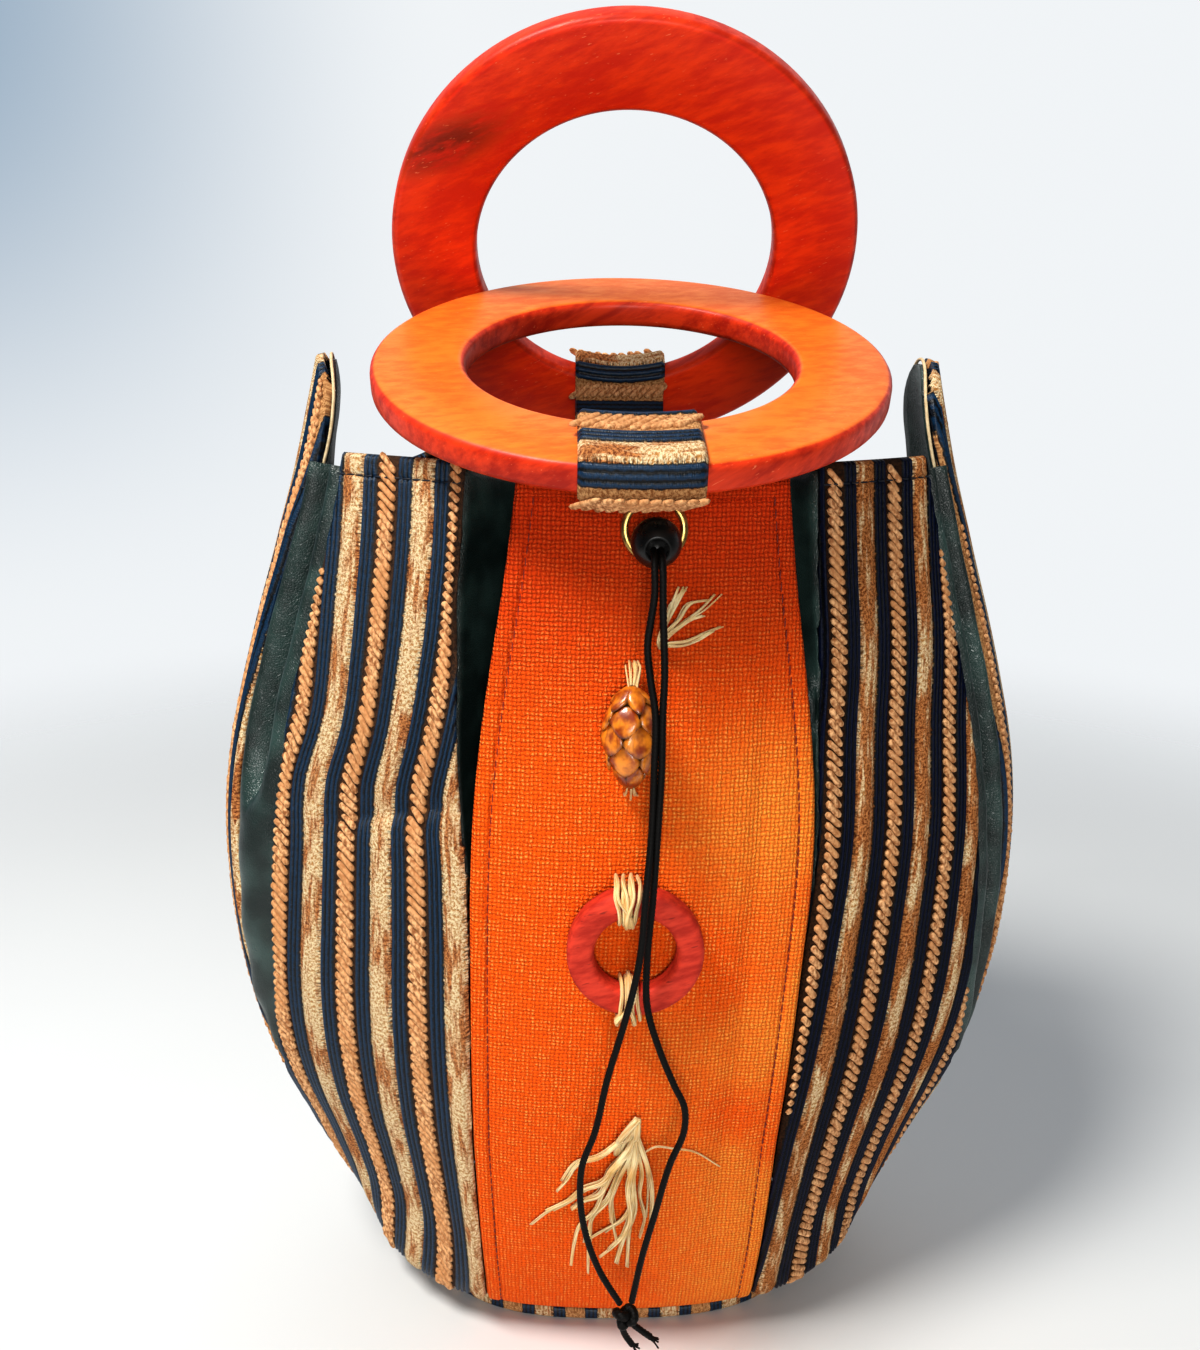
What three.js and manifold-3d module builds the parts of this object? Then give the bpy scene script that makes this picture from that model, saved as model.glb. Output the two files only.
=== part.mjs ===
// A handbag sewn from lens-shaped panels of striped and orange woven cloth, with folded leather gussets,
// ear tabs at its sides, two wooden ring handles in cloth loops, a drawstring and raffia trim.
// Millimetres, +Z up, the front faces -Y, and the origin is the middle of the base's underside.
import * as THREE from "three";
import { mergeVertices } from "three/addons/utils/BufferGeometryUtils.js";
import Module from "manifold-3d";

const wasm = await Module();
wasm.setup();

// Walls and clearances
const GAP = 0.4;
const CLOTH = 2.2;
const LEATHER = 1.3;
const LAP = 5;

// Heights
const BASE_HEIGHT = 4.6;
const PANEL_FOOT = 5;
const FRONT_RIM = 289;
const RIM = 293;
const SIDE_PANEL_FOOT = 13;
const GUSSET_FOOT = 176;
const SIDE_GUSSET_FOOT = 66;
const GUSSET_RIM = 279;
const LINING_FOOT = 284;

// Facets round the base, and across a panel, a side panel and an ear's lining
const BASE_SEGMENTS = 40;
const PANEL_COLUMNS = 5;
const SIDE_COLUMNS = 6;
const LINING_COLUMNS = 3;

// The bag's plan at each height is a superellipse that is squarer near the floor.
// frontHalf is the front panel's half width, sideHalf the side panel's half depth, and the gaps are what
// the gussets fill between those panels and the striped ones. The fold columns say how deep a gusset folds.
const SECTION_COLUMNS = [
  "z", "halfWidth", "halfDepth", "frontHalf", "sideHalf", "frontGap", "sideGap", "frontFold", "sideFold",
];
const SECTIONS = [
  [5, 66, 45, 45, 0, 0, 0, 0, 0],
  [13, 82, 52.5, 45, 1.5, 0, 0, 0, 0],
  [26, 92, 59, 45, 4, 0, 0, 0, 0],
  [44, 102, 65, 45.5, 8, 0, 0, 0, 0],
  [66, 111, 70, 46, 13, 0, 0.6, 0, 7],
  [88, 119, 74, 46.5, 18, 0, 6, 0, 11],
  [110, 125, 77, 47, 22, 0, 12, 0, 15],
  [132, 128.5, 78.5, 47.5, 25, 0, 15, 0, 19],
  [154, 130, 78.5, 48, 26.5, 0, 15.5, 0, 22],
  [176, 129.5, 77.5, 48.5, 27, 0.6, 15.5, 7, 24],
  [198, 126.5, 75.5, 48, 26.5, 2.5, 15, 11, 25],
  [220, 121, 73, 46, 25, 5.5, 14.5, 15, 26],
  [242, 114.5, 70, 43, 23.5, 8.5, 14, 19, 26],
  [262, 108, 67, 40, 22, 10.5, 13, 23, 26],
  [279, 103, 64, 38, 21, 12, 12.5, 25, 26],
  [293, 99.5, 61.5, 36.5, 20, 13, 12, 26, 26],
  [303, 97, 59.5, 35, 18.5, 13, 12, 26, 26],
  [311, 95, 58.5, 34, 15, 13, 12, 26, 26],
  [316, 93.8, 58, 34, 10, 13, 12, 26, 26],
  [319, 93, 57.5, 34, 4, 13, 12, 26, 26],
];
const BASE_SQUARENESS = 0.8;
const SQUARENESS_FADE = 25;
const EAR_TWIST = { left: -18, right: -4 };
const EAR_TWIST_FOOT = 279;
const EAR_TWIST_HEAD = 309;
const LINING_INSET = 1;

// The pinch across the front left striped panel
const PINCH = { z: 198, depth: 4, across: 0.45, spread: 0.22, height: 14, edge: [0.12, 0.35] };

// Wooden handles: lean is the angle between the ring's plane and the upright, positive away from the front.
// side says where the tab is sewn (-1 front, 1 back), and tailFace which face of the ring its tail leaves from.
const RING = { outer: 75, inner: 48, thickness: 8.5, eased: 1.7, segments: 40 };
const FRONT_RING = { centre: [0, -15.8, 315.4], lean: 71.2, side: -1, tailFace: -1, tailBend: FRONT_RIM + GAP };
const REAR_RING = { centre: [0, 37.4, 350.4], lean: -34.7, side: 1, tailFace: 1, tailBend: RIM + GAP };
const TAB = { width: 31.5, cloth: 2, clearance: 0.6, corner: 3, stations: 5, tailFoot: 268, tailRoom: 1.4 };
// Where the tail meets the loop: distances from the ring's centre, and from its middle plane
const TAIL_JOIN = { near: [47.6, 4.9], far: [52.5, 5.85] };

// Drawstring: routes run from the stop's bore to the knot
const CORD_DIAMETER = 2.4;
const CORD_STEPS = 38;
const CORD_SIDES = 8;
const CORD_LEFT = [
  [3.4, -77.6, 273.4], [3.4, -81, 272.2], [3.3, -83.6, 269], [3, -84.8, 263], [2.2, -85.2, 257],
  [1.6, -85.6, 251], [2.6, -86.5, 242], [4, -87.4, 234], [4.1, -88.4, 218], [3.8, -89.2, 202],
  [2.8, -91.4, 184], [1.6, -92.6, 167], [-0.2, -92.6, 156], [-2.4, -92.2, 146], [-6.8, -91.4, 127.7],
  [-10.2, -90.8, 109.8], [-13.4, -90.4, 99.5], [-14, -90, 89], [-11.9, -89.5, 73.4], [-8, -89, 61.2],
  [-2, -88.6, 49.3],
];
const CORD_RIGHT = [
  [5.9, -77.6, 273.4], [5.9, -81, 272.2], [6, -83.6, 269], [6.1, -84.8, 263], [6.2, -85.2, 257],
  [6.4, -85.6, 251], [7, -86.5, 242], [7, -87.4, 234], [6.9, -88.4, 218], [6.6, -89.2, 202],
  [5.6, -89.4, 182], [4.6, -89.3, 165], [4.7, -89.2, 149.5], [7.8, -89, 135.5], [12, -89, 124.6],
  [15.2, -89, 117], [15.4, -89, 110.5], [11.5, -89, 98.2], [7.6, -89, 81.1], [4.4, -89, 67.1],
  [1.5, -88.8, 50],
];
const KNOT = { centre: [-0.3, -88.6, 44.4], radii: [4.6, 3.6, 4] };
const KNOT_TAILS = [
  [[1.4, -88.6, 42.2], [4.6, -89, 39.6], [7.4, -89.2, 37.4]],
  [[-1.5, -88.2, 42.2], [-0.4, -87.6, 37.2], [2, -87.4, 32.8]],
];
const KNOT_TAIL_STEPS = 3;
const CORD_STOP = {
  centre: [4.65, -73.1, 274.4], radius: 6.6, bore: 2.95, tilt: -9, stations: 8, segments: 16,
};
const EYELET = { across: 4.65, z: 276.5, outer: 9, inner: 6.9, height: 1.3, segments: 24 };

// Trim on the front panel, placed by across (X) and height
const POD = { across: -1.3, z: 223.7, radius: 7.1, halfHeight: 13.4, off: 0.7, segments: 14 };
const POD_PROFILE = [[0, -1], [0.42, -0.95], [0.8, -0.6], [1, 0], [0.8, 0.6], [0.42, 0.95], [0, 1]];
const POD_TIE = { radius: 1.6, clear: 2, length: 5, bend: 3.2, footProud: 2.4, steps: 5, sides: 8 };
const WOOD_RING = {
  across: 0.8, z: 163, outer: 18.9, inner: 11.4, thickness: 7, eased: 1.6, off: 0.9, segments: 24,
};
const RING_TIE = {
  width: 5, height: 2, boreRoom: 1.2, turn: 1.2, tuck: 1, topAcross: -1.7, bottomAcross: -0.8, steps: 10, sides: 8,
};
const TASSEL = { across: 1.3, z: 104.5, radii: [4, 2.5, 5.5] };
const TASSEL_LOCKS = [[-29, 66], [-21, 58], [-15, 52], [-10, 47], [-5, 44], [0, 46], [4, 50], [8, 57]];
const TUFT = { across: 9.8, z: 247.6, radii: [3, 2, 3] };
const TUFT_LOCKS = [[14, 262], [18, 264], [22, 261], [25, 256], [26, 250], [17, 250]];
const LOCK = { width: 2.6, height: 1.1, lift: 1.2, steps: 3 };

// Colours, roughness and metalness
function finish(color, roughness, metalness = 0) {
  return new THREE.MeshStandardMaterial({ color, roughness, metalness });
}
const STRIPED = finish("#8a7358", 0.85);
const ORANGE = finish("#ee5a14", 0.9);
const HIDE = finish("#2c3a36", 0.5);
const WOOD = finish("#d0481a", 0.4);
const RED_WOOD = finish("#9c3a30", 0.55);
const BLACK_PLASTIC = finish("#141414", 0.4);
const BLACK_CORD = finish("#17140f", 0.8);
const BRASS = finish("#b8934a", 0.35, 1);
const RAFFIA = finish("#e3c489", 0.75);
const SEED = finish("#a5601c", 0.35);

const bag = new THREE.Group();

function place(name, geometry, material) {
  const mesh = new THREE.Mesh(geometry, material);
  mesh.name = name;
  bag.add(mesh);
  return mesh;
}

// Solids by joining
function solidOf(geometry) {
  const bare = (geometry.index ? geometry.toNonIndexed() : geometry.clone()).deleteAttribute("normal");
  bare.deleteAttribute("uv");
  const merged = mergeVertices(bare, 1e-4);
  const mesh = new wasm.Mesh({
    numProp: 3,
    vertProperties: merged.attributes.position.array,
    triVerts: new Uint32Array(merged.index.array),
  });
  return new wasm.Manifold(mesh);
}

function fuse(geometries) {
  const whole = geometries.map(solidOf).reduce((a, b) => a.add(b));
  const mesh = whole.getMesh();
  return new THREE.BufferGeometry()
    .setAttribute("position", new THREE.BufferAttribute(mesh.vertProperties, 3))
    .setIndex(new THREE.BufferAttribute(mesh.triVerts, 1));
}

// A closed wall between two grids of points with the same rows and columns.
// Closed columns run round a loop, and the wall is turned to face outwards.
function wall(outer, inner, closed = false) {
  const rows = outer.length;
  const columns = outer[0].length;
  const points = [...outer.flat(), ...inner.flat()];
  const faces = [];
  const at = (layer, i, j) => (layer * rows + i) * columns + (j % columns);
  const quad = (a, b, c, d) => faces.push(a, b, c, a, c, d);
  const last = closed ? columns : columns - 1;
  for (let j = 0; j < last; j++) {
    for (let i = 0; i < rows - 1; i++) {
      quad(at(0, i, j), at(0, i, j + 1), at(0, i + 1, j + 1), at(0, i + 1, j));
      quad(at(1, i, j), at(1, i + 1, j), at(1, i + 1, j + 1), at(1, i, j + 1));
    }
    quad(at(0, 0, j), at(1, 0, j), at(1, 0, j + 1), at(0, 0, j + 1));
    quad(at(0, rows - 1, j), at(0, rows - 1, j + 1), at(1, rows - 1, j + 1), at(1, rows - 1, j));
  }
  for (let i = 0; i < rows - 1 && !closed; i++) {
    quad(at(0, i, 0), at(0, i + 1, 0), at(1, i + 1, 0), at(1, i, 0));
    quad(at(0, i, last), at(1, i, last), at(1, i + 1, last), at(0, i + 1, last));
  }
  let volume = 0;
  for (let k = 0; k < faces.length; k += 3) {
    const [a, b, c] = [points[faces[k]], points[faces[k + 1]], points[faces[k + 2]]];
    volume += a.dot(b.clone().cross(c));
  }
  if (volume < 0) faces.reverse();
  const geometry = new THREE.BufferGeometry().setFromPoints(points).setIndex(faces);
  geometry.computeVertexNormals();
  return geometry;
}

// The bag's surface
const ROWS = SECTIONS.map((row) => Object.fromEntries(SECTION_COLUMNS.map((name, k) => [name, row[k]])));
const heightsBetween = (low, high) => {
  const within = ROWS.map((row) => row.z).filter((z) => z > low && z < high);
  return [low, ...within, high];
};

function sectionAt(z) {
  const top = Math.min(Math.max(ROWS.findIndex((row) => row.z >= z), 1), ROWS.length - 1);
  const [below, above] = [ROWS[top - 1], ROWS[top]];
  const share = (z - below.z) / (above.z - below.z);
  const section = { power: 2 + BASE_SQUARENESS * Math.exp(-z / SQUARENESS_FADE) };
  for (const name of SECTION_COLUMNS) section[name] = THREE.MathUtils.lerp(below[name], above[name], share);
  return section;
}

// Angles run from the front's middle to the right side and on to the back
const angleAtX = (s, x) => Math.sign(x) * Math.asin(Math.pow(Math.abs(x) / s.halfWidth, s.power / 2));
const angleAtY = (s, y) => Math.acos(Math.sign(y) * Math.pow(Math.abs(y) / s.halfDepth, s.power / 2));

function skinPoint(angle, z) {
  const s = sectionAt(z);
  const bend = (value) => Math.sign(value) * Math.pow(Math.abs(value), 2 / s.power);
  return new THREE.Vector3(s.halfWidth * bend(Math.sin(angle)), -s.halfDepth * bend(Math.cos(angle)), z);
}

function skinNormal(angle, z) {
  const [turn, rise] = [0.01, 1];
  const across = skinPoint(angle + turn, z).sub(skinPoint(angle - turn, z));
  const up = skinPoint(angle, z + rise).sub(skinPoint(angle, z - rise));
  return across.cross(up).normalize();
}

const under = (angle, z, depth) => skinPoint(angle, z).addScaledVector(skinNormal(angle, z), -depth);
const mirrored = (point, right, front) => new THREE.Vector3(point.x * right, point.y * front, point.z);

// A cloth panel: anglesAt gives the two edge angles at a height, and dentAt an inward push
function panel(heights, columns, anglesAt, turn, dentAt = () => 0, depth = 0, thickness = CLOTH) {
  const layer = (extra) =>
    heights.map((z) =>
      Array.from({ length: columns + 1 }, (_, j) => {
        const [from, to] = anglesAt(sectionAt(z));
        const angle = THREE.MathUtils.lerp(from, to, j / columns);
        return turn(under(angle, z, depth + extra + dentAt(j / columns, z)), z);
      }),
    );
  return wall(layer(0), layer(thickness));
}

const frontEdge = (s) => angleAtX(s, s.frontHalf - GAP / 2);
const stripedEdges = (s) => [
  angleAtX(s, s.frontHalf + s.frontGap + GAP / 2),
  angleAtY(s, s.sideHalf + s.sideGap + GAP / 2),
];
const sideEdges = (s, inset = 0) => {
  const edge = angleAtY(s, s.sideHalf - GAP / 2 - inset);
  return [edge, Math.PI - edge];
};

function pinchDent(across, z) {
  const sideways = (across - PINCH.across) / PINCH.spread;
  const upright = (z - PINCH.z) / PINCH.height;
  const clearOfSeams = THREE.MathUtils.smoothstep(Math.min(across, 1 - across), ...PINCH.edge);
  return PINCH.depth * clearOfSeams * Math.exp(-(sideways ** 2 + upright ** 2) / 2);
}

// An ear turns about the upright line up the middle of its side panel
function earTurn(right) {
  const twist = THREE.MathUtils.degToRad(right > 0 ? EAR_TWIST.right : EAR_TWIST.left);
  return (point, z) => {
    const centre = sectionAt(z).halfWidth;
    const share = THREE.MathUtils.smoothstep(z, EAR_TWIST_FOOT, EAR_TWIST_HEAD);
    const [dx, dy] = [point.x - centre, point.y];
    const turned = new THREE.Vector2(dx, dy).rotateAround(new THREE.Vector2(), twist * share);
    return mirrored(new THREE.Vector3(centre + turned.x, turned.y, point.z), right, 1);
  };
}

// A gusset laps behind both neighbouring panels and folds inwards between them.
// Each of its stations is a share of the way from one panel edge to the middle, and of the fold's depth.
const GUSSET_STATIONS = [[0, 0], [0.45, 0.6], [0.75, 1]];
const MOST_MITRE = 1.6;

function gusset(heights, edgesAt, foldOf, right, front) {
  const first = CLOTH + GAP;
  const outer = heights.map((z) => {
    const s = sectionAt(z);
    const [a, aLap, b, bLap] = edgesAt(s);
    const middle = (a + b) / 2;
    const leg = (edge) =>
      GUSSET_STATIONS.map(([share, fold]) =>
        under(THREE.MathUtils.lerp(edge, middle, share), z, THREE.MathUtils.lerp(first, foldOf(s), fold)),
      );
    const row = [under(aLap, z, first), ...leg(a), ...leg(b).reverse(), under(bLap, z, first)];
    return row.map((point) => mirrored(point, right, front));
  });
  const side = right * front;
  const inner = outer.map((row, i) =>
    row.map((point, j) => {
      const up = outer[Math.min(i + 1, outer.length - 1)][j].clone().sub(outer[Math.max(i - 1, 0)][j]);
      const before = j > 0 ? point.clone().sub(row[j - 1]) : row[1].clone().sub(point);
      const after = j < row.length - 1 ? row[j + 1].clone().sub(point) : before.clone();
      const [n1, n2] = [before.cross(up).normalize(), after.cross(up).normalize()];
      const mean = n1.clone().add(n2).normalize();
      const mitre = Math.min(1 / mean.dot(n1), MOST_MITRE);
      return point.clone().addScaledVector(mean, -side * mitre * LEATHER);
    }),
  );
  return wall(outer, inner);
}

const frontGussetEdges = (s) => {
  const [x1, x2] = [s.frontHalf, s.frontHalf + s.frontGap];
  return [angleAtX(s, x1), angleAtX(s, x1 - LAP), angleAtX(s, x2), angleAtX(s, x2 + LAP)];
};
const sideGussetEdges = (s) => {
  const [y1, y2] = [s.sideHalf + s.sideGap, s.sideHalf];
  return [angleAtY(s, y1), angleAtY(s, y1 + LAP), angleAtY(s, y2), angleAtY(s, y2 - LAP)];
};

// Base, panels, gussets and ear linings
function buildBody() {
  const foot = sectionAt(PANEL_FOOT);
  const outline = Array.from({ length: BASE_SEGMENTS }, (_, k) => {
    const point = skinPoint((k / BASE_SEGMENTS) * 2 * Math.PI, foot.z);
    return new THREE.Vector2(point.x, point.y);
  });
  const slab = new THREE.ExtrudeGeometry(new THREE.Shape(outline), { depth: BASE_HEIGHT, bevelEnabled: false });
  place("base", slab, STRIPED);

  const faces = { front: 1, back: -1 };
  const sides = { left: -1, right: 1 };
  for (const [face, front] of Object.entries(faces)) {
    const rim = front > 0 ? FRONT_RIM : RIM;
    const acrossMiddle = (s) => [-frontEdge(s), frontEdge(s)];
    const toFace = (point) => mirrored(point, 1, front);
    const middle = panel(heightsBetween(PANEL_FOOT, rim), PANEL_COLUMNS, acrossMiddle, toFace);
    place(`${face}_panel`, middle, front > 0 ? ORANGE : STRIPED);
    for (const [side, right] of Object.entries(sides)) {
      const turn = (point) => mirrored(point, right, front);
      const dent = face === "front" && side === "left" ? pinchDent : undefined;
      const striped = panel(heightsBetween(PANEL_FOOT, RIM), PANEL_COLUMNS, stripedEdges, turn, dent);
      place(`striped_panel_${face}_${side}`, striped, STRIPED);
      const gussetRows = heightsBetween(GUSSET_FOOT, GUSSET_RIM);
      const inward = gusset(gussetRows, frontGussetEdges, (s) => s.frontFold, right, front);
      place(`gusset_${face}_${side}`, inward, HIDE);
      const sideRows = heightsBetween(SIDE_GUSSET_FOOT, GUSSET_RIM);
      const sideways = gusset(sideRows, sideGussetEdges, (s) => s.sideFold, right, front);
      place(`side_gusset_${face}_${side}`, sideways, HIDE);
    }
  }
  for (const [side, right] of Object.entries(sides)) {
    const tip = ROWS.at(-1).z;
    const outside = panel(heightsBetween(SIDE_PANEL_FOOT, tip), SIDE_COLUMNS, sideEdges, earTurn(right));
    place(`side_panel_${side}`, outside, STRIPED);
    const liningRows = heightsBetween(LINING_FOOT, tip - LINING_INSET);
    const insetEdges = (s) => sideEdges(s, LINING_INSET);
    const flat = () => 0;
    const lining = panel(liningRows, LINING_COLUMNS, insetEdges, earTurn(right), flat, CLOTH + GAP, LEATHER);
    place(`ear_lining_${side}`, lining, HIDE);
  }
}

// Rings with eased edges, turned about the Y axis
function easedRing({ outer, inner, thickness, eased, segments }) {
  const half = thickness / 2;
  const profile = [
    [inner, -half + eased], [inner + eased, -half], [outer - eased, -half], [outer, -half + eased],
    [outer, half - eased], [outer - eased, half], [inner + eased, half], [inner, half - eased],
    [inner, -half + eased],
  ];
  return new THREE.LatheGeometry(profile.map(([r, y]) => new THREE.Vector2(r, y)), segments);
}

// Directions of a leaning ring: up its plane, and out of its front face
function ringDirections({ lean }) {
  const angle = THREE.MathUtils.degToRad(lean);
  return {
    up: new THREE.Vector3(0, Math.sin(angle), Math.cos(angle)),
    out: new THREE.Vector3(0, -Math.cos(angle), Math.sin(angle)),
  };
}

// A cloth loop round the low part of a ring, with a tail that is sewn behind the rim
const CORNER_POINTS = 4;

function handleTab(ring) {
  const centre = new THREE.Vector3(...ring.centre);
  const { up, out } = ringDirections(ring);
  const loopAt = (x, spare) => {
    const far = Math.sqrt(RING.outer ** 2 - x * x) + spare;
    const near = Math.sqrt(RING.inner ** 2 - x * x) - spare;
    const [middle, halfLong, halfHigh] = [(far + near) / 2, (far - near) / 2, RING.thickness / 2 + spare];
    const radius = TAB.corner + spare - TAB.clearance;
    return Array.from({ length: 4 * CORNER_POINTS }, (_, k) => {
      const quarter = Math.floor(k / CORNER_POINTS);
      const angle = (quarter + (k % CORNER_POINTS) / (CORNER_POINTS - 1)) * (Math.PI / 2);
      const [cos, sin] = [Math.cos(angle), Math.sin(angle)];
      const along = middle + (quarter === 1 || quarter === 2 ? -1 : 1) * (halfLong - radius) + radius * cos;
      const high = (quarter < 2 ? 1 : -1) * (halfHigh - radius) + radius * sin;
      return centre.clone().addScaledVector(up, -along).addScaledVector(out, high).setX(x);
    });
  };
  const stations = Array.from({ length: TAB.stations }, (_, k) => TAB.width * (k / (TAB.stations - 1) - 0.5));
  const outside = stations.map((x) => loopAt(x, TAB.clearance + TAB.cloth));
  const against = stations.map((x) => loopAt(x, TAB.clearance));
  const loop = wall(outside, against, true);
  const join = ([along, high]) => {
    const point = centre.clone().addScaledVector(up, -along).addScaledVector(out, ring.tailFace * high);
    return [point.y, point.z];
  };
  const behindRim = ring.side * (sectionAt(RIM).halfDepth - CLOTH - TAB.tailRoom);
  const inside = behindRim - 2 * ring.side * TAB.cloth;
  const outline = [
    [behindRim, TAB.tailFoot], [behindRim, ring.tailBend], join(TAIL_JOIN.far),
    join(TAIL_JOIN.near), [inside, ring.tailBend], [inside, TAB.tailFoot],
  ];
  const shape = new THREE.Shape(outline.map(([y, z]) => new THREE.Vector2(y, z)));
  const tail = new THREE.ExtrudeGeometry(shape, { depth: TAB.width, bevelEnabled: false });
  tail.translate(0, 0, -TAB.width / 2);
  const [alongX, alongY, alongZ] = [[1, 0, 0], [0, 1, 0], [0, 0, 1]].map((axis) => new THREE.Vector3(...axis));
  tail.applyMatrix4(new THREE.Matrix4().makeBasis(alongY, alongZ, alongX));
  return fuse([loop, tail]);
}

function buildHandles() {
  for (const [name, ring] of [["front", FRONT_RING], ["rear", REAR_RING]]) {
    const mesh = place(`handle_ring_${name}`, easedRing(RING), WOOD);
    mesh.position.set(...ring.centre);
    mesh.rotation.x = Math.PI - THREE.MathUtils.degToRad(ring.lean);
    place(`handle_tab_${name}`, handleTab(ring), STRIPED);
  }
}

// Drawstring
function tube(points, radius, steps, sides) {
  const section = Array.from({ length: sides }, (_, k) => {
    const angle = (k / sides) * 2 * Math.PI;
    return new THREE.Vector2(radius * Math.cos(angle), radius * Math.sin(angle));
  });
  const extrudePath = new THREE.CatmullRomCurve3(points.map((point) => new THREE.Vector3(...point)));
  return new THREE.ExtrudeGeometry(new THREE.Shape(section), { steps, extrudePath });
}

function ellipsoid([x, y, z], [rx, ry, rz]) {
  const [around, upwards] = [8, 6];
  return new THREE.SphereGeometry(1, around, upwards).scale(rx, ry, rz).translate(x, y, z);
}

function buildDrawstring() {
  const stop = CORD_STOP;
  const edge = Math.asin(stop.bore / stop.radius);
  const arc = Array.from({ length: stop.stations }, (_, k) => {
    const angle = THREE.MathUtils.lerp(edge, Math.PI - edge, k / (stop.stations - 1));
    return new THREE.Vector2(stop.radius * Math.sin(angle), -stop.radius * Math.cos(angle));
  });
  const turned = new THREE.LatheGeometry([...arc, arc[0].clone()], stop.segments);
  const ball = place("cord_stop", turned, BLACK_PLASTIC);
  ball.position.set(...stop.centre);
  ball.rotation.x = THREE.MathUtils.degToRad(-stop.tilt);

  const angle = angleAtX(sectionAt(EYELET.z), EYELET.across);
  const { height } = EYELET;
  const rolled = easedRing({ ...EYELET, thickness: height, eased: height / 3 });
  const eyelet = place("cord_eyelet", rolled, BRASS);
  eyelet.position.copy(under(angle, EYELET.z, -GAP - height / 2));
  eyelet.quaternion.setFromUnitVectors(new THREE.Vector3(0, 1, 0), skinNormal(angle, EYELET.z));

  const radius = CORD_DIAMETER / 2;
  place("cord_strand_left", tube(CORD_LEFT, radius, CORD_STEPS, CORD_SIDES), BLACK_CORD);
  place("cord_strand_right", tube(CORD_RIGHT, radius, CORD_STEPS, CORD_SIDES), BLACK_CORD);
  const tails = KNOT_TAILS.map((route) => tube(route, radius, KNOT_TAIL_STEPS, CORD_SIDES));
  place("cord_knot", fuse([ellipsoid(KNOT.centre, KNOT.radii), ...tails]), BLACK_CORD);
}

// Trim
const onPanel = (across, z, proud) => under(angleAtX(sectionAt(z), across), z, -proud);

function lockStrip(from, to) {
  const half = [LOCK.width / 2, LOCK.height / 2];
  const section = new THREE.Shape([
    new THREE.Vector2(-half[1], -half[0]), new THREE.Vector2(half[1], -half[0]),
    new THREE.Vector2(half[1], half[0]), new THREE.Vector2(-half[1], half[0]),
  ]);
  const route = Array.from({ length: LOCK.steps + 1 }, (_, k) => {
    const share = k / LOCK.steps;
    const proud = GAP + LOCK.width / 2 + LOCK.lift * (1 - share);
    const [across, z] = [0, 1].map((k) => THREE.MathUtils.lerp(from[k], to[k], share));
    return onPanel(across, z, proud);
  });
  const extrudePath = new THREE.CatmullRomCurve3(route);
  return new THREE.ExtrudeGeometry(section, { steps: LOCK.steps, extrudePath });
}

function raffiaBunch({ across, z, radii }, locks) {
  const head = onPanel(across, z, 2 * GAP + radii[1]);
  const strips = locks.map((tip) => lockStrip([across, z], tip));
  return fuse([ellipsoid(head.toArray(), radii), ...strips]);
}

function ringTie(across, side, back, front) {
  const spare = GAP + RING_TIE.height / 2;
  const far = WOOD_RING.z + side * (WOOD_RING.outer + spare);
  const near = WOOD_RING.z + side * (WOOD_RING.inner - spare - RING_TIE.boreRoom);
  const y = front - spare;
  const { turn, tuck } = RING_TIE;
  const route = [
    [back, far], [y + tuck, far], [y, far - side * turn],
    [y, near + side * turn], [y + tuck, near], [back, near],
  ];
  const points = route.map(([py, pz]) => new THREE.Vector3(across, py, pz));
  const section = Array.from({ length: RING_TIE.sides }, (_, k) => {
    const angle = ((k + 0.5) / RING_TIE.sides) * 2 * Math.PI;
    return new THREE.Vector2((RING_TIE.width / 2) * Math.cos(angle), (RING_TIE.height / 2) * Math.sin(angle));
  });
  const tension = 0.2;
  const extrudePath = new THREE.CatmullRomCurve3(points, false, "catmullrom", tension);
  return new THREE.ExtrudeGeometry(new THREE.Shape(section), { steps: RING_TIE.steps, extrudePath });
}

function buildTrim() {
  const profile = POD_PROFILE.map(([r, h]) => new THREE.Vector2(r * POD.radius, h * POD.halfHeight));
  const podY = onPanel(POD.across, POD.z, POD.off + POD.radius).y;
  const pod = place("seed_pod", new THREE.LatheGeometry(profile, POD.segments), SEED);
  pod.position.set(POD.across, podY, POD.z);
  pod.rotation.x = Math.PI / 2;
  for (const [name, side] of [["top", 1], ["bottom", -1]]) {
    const { radius, clear, length, bend, footProud, steps, sides } = POD_TIE;
    const tip = POD.z + side * (POD.halfHeight + clear);
    const foot = onPanel(POD.across, tip + side * length, footProud);
    const start = new THREE.Vector3(POD.across, podY + 1, tip);
    const middle = new THREE.Vector3(POD.across, (start.y + foot.y) / 2, tip + side * bend);
    const route = [start, middle, foot].map((point) => point.toArray());
    place(`pod_tie_${name}`, tube(route, radius, steps, sides), RAFFIA);
  }

  const back = onPanel(WOOD_RING.across, WOOD_RING.z, WOOD_RING.off).y;
  const ring = place("wood_ring", easedRing(WOOD_RING), RED_WOOD);
  ring.position.set(WOOD_RING.across, back - WOOD_RING.thickness / 2, WOOD_RING.z);
  const frontFace = back - WOOD_RING.thickness;
  place("ring_tie_top", ringTie(RING_TIE.topAcross, 1, back - GAP, frontFace), RAFFIA);
  place("ring_tie_bottom", ringTie(RING_TIE.bottomAcross, -1, back - GAP, frontFace), RAFFIA);

  place("raffia_tassel", raffiaBunch(TASSEL, TASSEL_LOCKS), RAFFIA);
  place("raffia_tuft", raffiaBunch(TUFT, TUFT_LOCKS), RAFFIA);
}

buildBody();
buildHandles();
buildDrawstring();
buildTrim();

export default bag;
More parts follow.
